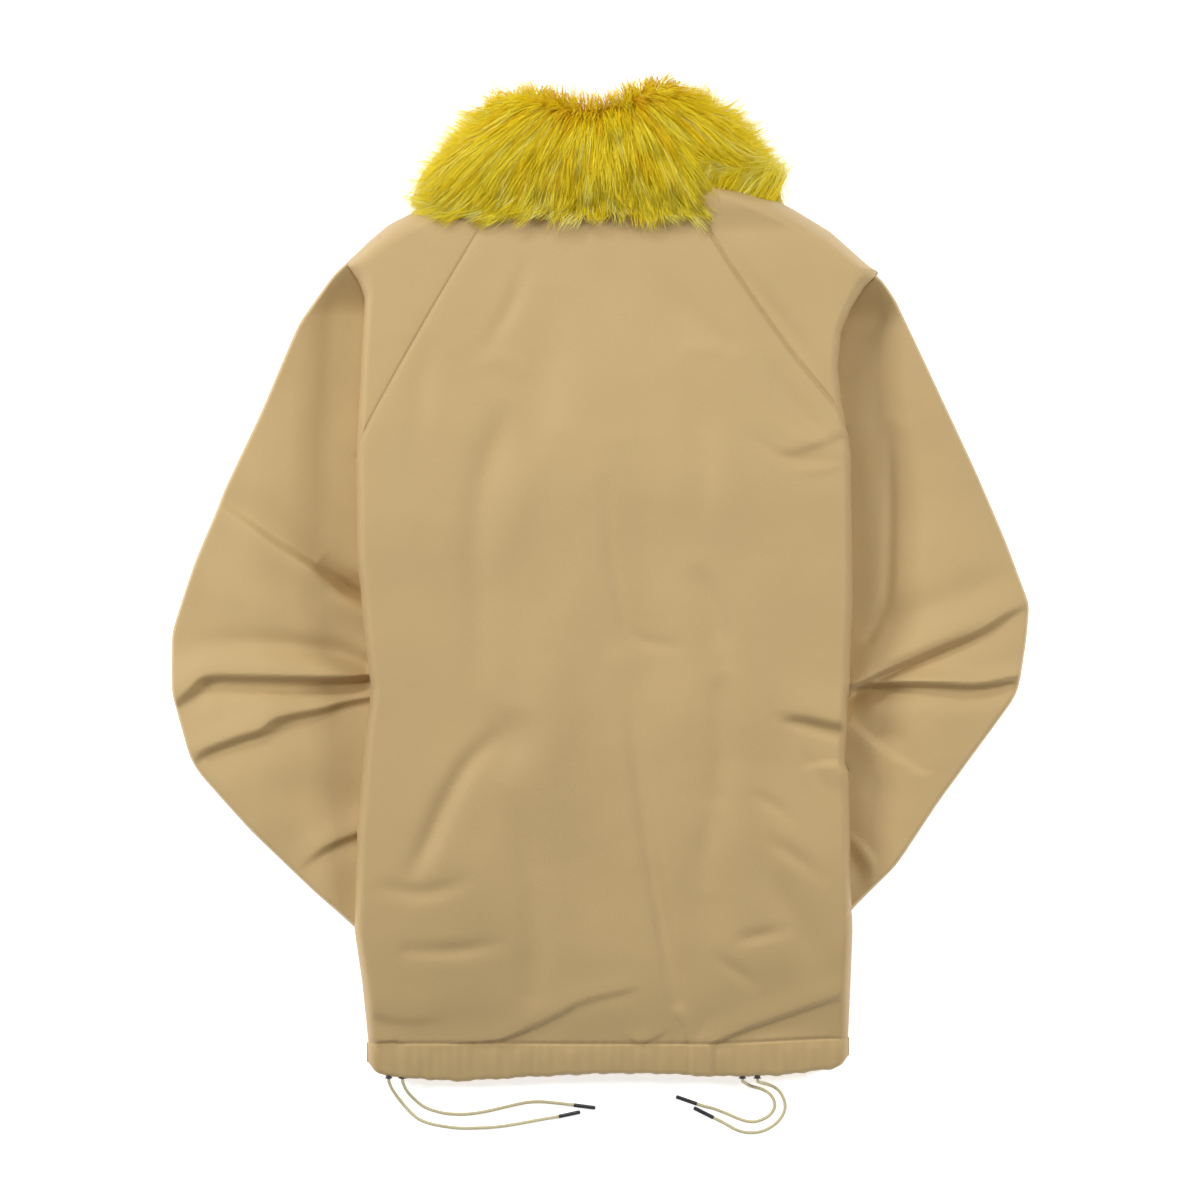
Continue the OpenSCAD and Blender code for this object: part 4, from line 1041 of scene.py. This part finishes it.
def strands(name, n, p0, p1, seed, clumps):
    """Pile hairs with roots between two angles round the neck: tapered, three-sided, bunched into locks."""
    r = np.random.RandomState(seed)

    def roots(k):
        return r.uniform(p0, p1, k), np.where(r.rand(k) < 0.80, r.uniform(0.0, 0.97, k), r.uniform(0.90, 1.38, k))

    def flow(ph, b):
        """Degrees round the neck, and steps of b, that a hair runs to its tip."""
        a = np.abs(ph)
        s = np.where(ph < 0, -1.0, 1.0)
        fan = np.where(ph < 0, 18.0, 13.0) * sm(4, 46, a) + 1.5 * sm(0, 8, a) - 6 * sm(80, 120, a)
        fan = fan + np.where(ph > 0, 7.0 * sm(25, 60, a) * (1 - sm(85, 100, a)), 0)
        down = np.where(b < 0.93, -0.50 + 0.18 * sm(55, 90, a), 0.0)
        g = sm(0.80, 0.98, b)
        return s * fan * (1 - 0.35 * g), down * (1 - g) + 0.05 * g

    gp, gb = roots(clumps)
    gf, gd = flow(gp, gb)
    gf = gf + r.normal(0, 3.2, clumps)
    gd = gd * r.uniform(0.75, 1.25, clumps) + r.normal(0, 0.03, clumps)
    gh = r.uniform(4, 13, clumps)
    ghue = r.rand(clumps)
    hp, hb = roots(n)
    # each hair joins the nearest lock
    G = collar_point(gp, gb)
    H = collar_point(hp, hb)
    near_i = np.zeros(n, int)
    for i in range(0, n, 2000):
        d = ((H[i:i + 2000, None, :] - G[None]) ** 2).sum(-1)
        near_i[i:i + 2000] = d.argmin(1)
    f, d = flow(hp, hb)
    f = f + r.normal(0, 2.4, n) + r.normal(0, 5.0, n) * sm(0.84, 1.0, hb)
    d = d * r.uniform(0.7, 1.2, n)
    spike = (r.rand(n) < 0.42) * sm(50, 66, np.abs(hp)) * (1 - sm(104, 126, np.abs(hp)))
    d = d * (1 - spike) + 0.04 * spike
    f = f * (1 - 0.6 * spike)
    tip_p = hp + f
    tip_b = hb + d
    stand = sm(0.84, 1.0, hb)
    pull = r.uniform(0.3, 0.85, n) * (1 - 0.5 * stand) * (1 - 0.75 * spike)
    tip_p = tip_p * (1 - pull) + (gp + gf)[near_i] * pull
    tip_b = tip_b * (1 - pull) + (gb + gd)[near_i] * pull
    cut = (0.10 + 0.42 * r.rand(clumps))[near_i] * r.uniform(0.7, 1.3, n)
    tip_b = np.where(tip_b < 0.05, 0.05 + (tip_b - 0.05) * cut, tip_b)
    inside = (tip_p > 40) & (tip_p < 104)
    tip_b = np.where(inside, np.maximum(tip_b, 0.20 + 0.08 * r.rand(n)), tip_b)
    h_tip = r.uniform(3, 9, n) * (1 - pull) + gh[near_i] * pull + stand * r.gamma(3.0, 3.2, n)
    wild = (r.rand(n) < 0.09)
    h_tip = h_tip + wild * r.uniform(4, 12, n)
    side_out = sm(60, 84, np.abs(hp)) * (1 - sm(110, 150, np.abs(hp)))
    h_tip = h_tip + spike * r.gamma(3.0, 2.8, n)
    h_tip = h_tip + side_out * (r.uniform(0, 6, n) + 7.0 * (gh[near_i] > 9.5)) + 9 * sm(22, 50, np.abs(hp)) * (1 - sm(70, 84, np.abs(hp))) * sm(0.3, 0.05, tip_b) * (hp < 0)
    h_tip = h_tip * (1 - 0.6 * sm(0.15, -0.15, tip_b) * (np.abs(hp) < 40)) + 1.0
    h_mid = r.uniform(2.5, 6, n)
    K = 5
    ts = np.linspace(0, 1, K)
    pts = np.zeros((n, K, 3))
    wig = r.normal(0, 0.9, (n, 2))
    for k, t in enumerate(ts):
        e = t ** 1.15
        ph = hp + (tip_p - hp) * e + wig[:, 0] * math.sin(math.pi * t)
        bb = hb + (tip_b - hb) * t
        h = h_mid * math.sin(math.pi * min(1.0, t * 0.9 + 0.02)) + h_tip * t ** 1.3
        # beyond the roll the hair leaves along its normal, not round the edge
        q = collar_point(ph, np.where(hb < 0.93, np.minimum(bb, 0.96), bb))
        nn = collar_normal(ph, np.clip(np.where(hb < 0.93, np.minimum(bb, 0.96), bb), 0.02, 1.36))
        pts[:, k] = q + nn * h[:, None]
    pts[:, :, 1] += (stand * 3.0)[:, None] * ts[None, :] ** 1.5
    pts[:, :, 2] = np.maximum(pts[:, :, 2], 1.0)
    tall = np.maximum(pts[:, :, 2] - 106.0, 0)
    pts[:, :, 2] -= tall - 10.0 * (1 - np.exp(-tall / 14.0))
    tan = np.gradient(pts, axis=1)
    tan /= np.maximum(np.linalg.norm(tan, axis=-1, keepdims=True), 1e-9)
    ref = r.normal(0, 1, (n, 1, 3))
    e1 = np.cross(tan, ref)
    e1 /= np.maximum(np.linalg.norm(e1, axis=-1, keepdims=True), 1e-9)
    e2 = np.cross(tan, e1)
    w0 = r.uniform(0.20, 0.36, n)
    w = w0[:, None] * np.array([0.8, 1.0, 0.85, 0.55, 0.06])[None, :]
    V = np.zeros((n, K, 3, 3))
    for j in range(3):
        c, s_ = math.cos(j * 2.0944), math.sin(j * 2.0944)
        V[:, :, j] = pts + w[..., None] * (c * e1 + s_ * e2)
    # the tip closes to one point
    body_v = V[:, :K - 1].reshape(n, (K - 1) * 3, 3)
    verts = np.concatenate([body_v, pts[:, -1:, :]], 1)
    per = (K - 1) * 3 + 1
    fq = []
    for k in range(K - 2):
        for j in range(3):
            j2 = (j + 1) % 3
            fq.append((k * 3 + j, k * 3 + j2, (k + 1) * 3 + j2, (k + 1) * 3 + j))
    ft = [((K - 2) * 3 + j, (K - 2) * 3 + (j + 1) % 3, per - 1) for j in range(3)]
    base = np.arange(n)[:, None, None] * per
    quads = (np.array(fq)[None] + base)
    tris = (np.array(ft)[None] + base)
    me = bpy.data.meshes.new(name)
    me.vertices.add(n * per)
    me.vertices.foreach_set("co", (verts.reshape(-1) * 0.001).astype(np.float32))
    loops = np.concatenate([quads.reshape(n, -1), tris.reshape(n, -1)], 1).reshape(-1)
    me.loops.add(len(loops))
    me.loops.foreach_set("vertex_index", loops.astype(np.int32))
    nq, nt = len(fq), len(ft)
    sizes = np.tile(np.array([4] * nq + [3] * nt), n)
    me.polygons.add(len(sizes))
    me.polygons.foreach_set("loop_start", (np.cumsum(sizes) - sizes).astype(np.int32))
    me.update(calc_edges=True)
    # Slot per hair: the lock's tone and a random part, then painted shade: hairs rooted near the roll (most at the
    # back) and on the front collar's lobes past about 100 degrees go darker towards ochre, for the shadowed inside of
    # the collar; hairs rooted near the neck seam go lighter.
    hue = ghue[near_i] * 0.65 + r.rand(n) * 0.35
    shade = hue - 0.06 + 0.36 * sm(0.72, 1.0, hb) * (1 - 0.6 * sm(26, 50, np.abs(hp))) - 0.16 * sm(0.45, 0.1, hb)
    shade = shade + 0.22 * sm(95, 130, np.abs(hp))
    mi = np.digitize(shade, [0.12, 0.42, 0.74, 0.98])
    lut = np.array([4, 0, 1, 2, 3])
    me.polygons.foreach_set("material_index", np.repeat(lut[mi], nq + nt).astype(np.int32))
    me.polygons.foreach_set("use_smooth", np.ones(len(sizes), bool))
    for m in FUR_MATS:
        me.materials.append(m)
    o = bpy.data.objects.new(name, me)
    scene.collection.objects.link(o)
    return o


BACK_A, SIDE_A = 24.0, 82.0
sk = skin("collar_skin_back", -BACK_A, BACK_A, "collar_back")
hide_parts("fur_back")
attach(sk, "collar_back")
st = strands("collar_pile_back", 8800, -BACK_A, BACK_A, 51, 330)
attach(st, "collar_back")
for s, side in ((-1, "left"), (1, "right")):
    k1 = skin(f"collar_skin_{side}", s * BACK_A, s * SIDE_A, None)
    s1 = strands(f"collar_pile_{side}", 9000, s * BACK_A, s * SIDE_A, 52 + s, 400)
    for q in (k1, s1):
        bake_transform(q)
    k2 = skin(f"collar_skin_lobe_{side}", s * SIDE_A, s * 164.0, None)
    s2 = strands(f"collar_pile_lobe_{side}", 8000, s * (SIDE_A - 2), s * 164.0, 62 + s, 330)
    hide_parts(f"fur_{side}")
    for q in (k2, s2):
        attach(q, "jacket")

# the collar's underside
xs_ = np.linspace(-0.060, 0.060, 60)
ys_ = np.linspace(0.3195, 0.404, 44)
Y, X = np.meshgrid(ys_, xs_, indexing="ij")
Z = 0.047 + 0.0405 * np.sqrt(1 - (X / 0.104) ** 2) - 0.0006 * np.cos(Y * 160)
o = grid("undercollar_back_cloth", np.stack([X, Y, Z], -1), M_CLOTH, face=DOWN)
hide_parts("undercollar_back")
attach(o, "collar_back")
rows = []
for s in (-1, 1):
    th = np.radians(np.linspace(30, 158, 80)) * s
    rows = []
    for y, gr in ((0.3195, 0.0046), (0.335, 0.0052), (0.352, 0.0054), (0.370, 0.0048), (0.388, 0.0036), (0.398, 0.002)):
        p = oval(th, 0.0880 + gr, 0.0400 + gr * 0.4)
        rows.append(np.column_stack([p[:, 0], np.full(len(th), y), p[:, 1]]))
    o = grid(f"undercollar_side_{'left' if s < 0 else 'right'}", np.array(rows), M_CLOTH, face=(s, 0, 0))
    if s < 0:
        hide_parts("undercollar_sides")
    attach(o, "jacket")


# ---------------------------------------------------------------- what each sheet was cut to: width, length, and its area where the cut is shaped
CUTS = {
    "back_shell": (0.47, 0.75, 0.315), "back_lining_cloth": (0.45, 0.73, 0.292),
    "left_front_cloth": (0.27, 0.73, 0.18), "right_front_cloth": (0.28, 0.73, 0.185),
    "left_front_lining_cloth": (0.22, 0.72, 0.138), "right_front_lining_cloth": (0.23, 0.72, 0.145),
    "left_raglan_back": (0.14, 0.22, 0.0205), "right_raglan_back": (0.18, 0.22, 0.026),
    "left_raglan_front": (0.14, 0.22, 0.0165), "right_raglan_front": (0.18, 0.22, 0.0215),
    "left_sleeve_upper": (0.41, 0.24, 0.062), "left_sleeve_lower": (0.43, 0.53, 0.168),
    "right_sleeve_upper": (0.42, 0.27, 0.069), "right_sleeve_lower": (0.43, 0.52, 0.153),
    "left_sleeve_lining_upper": (0.40, 0.24, 0.058), "left_sleeve_lining_lower": (0.42, 0.53, 0.16),
    "right_sleeve_lining_upper": (0.41, 0.27, 0.065), "right_sleeve_lining_lower": (0.42, 0.52, 0.146),
    "hem_casing_back_cloth": (0.42, 0.045, None), "hem_casing_left_cloth": (0.18, 0.043, None), "hem_casing_right_cloth": (0.19, 0.043, None),
    "left_cuff_cloth": (0.25, 0.055, None), "right_cuff_cloth": (0.25, 0.055, None),
    "left_cuff_elastic_band": (0.25, 0.018, None), "right_cuff_elastic_band": (0.25, 0.018, None),
    "placket_facing_cloth": (0.026, 0.715, None), "left_welt_cloth": (0.02, 0.148, None), "right_welt_cloth": (0.02, 0.148, None),
    "left_pocket_bag_cloth": (0.083, 0.174, None), "right_pocket_bag_cloth": (0.083, 0.174, None),
    "size_label_tape": (0.044, 0.028, None), "hang_loop_tape": (0.06, 0.01, 0.0004),
    "collar_stand_cloth": (0.47, 0.09, None), "undercollar_back_cloth": (0.12, 0.087, None),
    "undercollar_side_left": (0.13, 0.085, None), "undercollar_side_right": (0.13, 0.085, None),
}
for name, (w, l, a) in CUTS.items():
    if name in bpy.data.objects:
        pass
    else:
        print("no piece", name)


# ---------------------------------------------------------------- floor and finish
fl = bpy.data.meshes.new("floor")
fl.from_pydata([(-6, -6, 0), (6, -6, 0), (6, 6, 0), (-6, 6, 0)], [], [(0, 1, 2, 3)])
floor = bpy.data.objects.new("floor", fl)
scene.collection.objects.link(floor)
M_FLOOR, _p = principled("floor_white", (0.92, 0.92, 0.92), 0.9, spec=0.1)
_p.inputs["Emission Color"].default_value = (1, 1, 1, 1)
_p.inputs["Emission Strength"].default_value = 0.62
fl.materials.append(M_FLOOR)
floor.location = (0, 0, -0.0005)
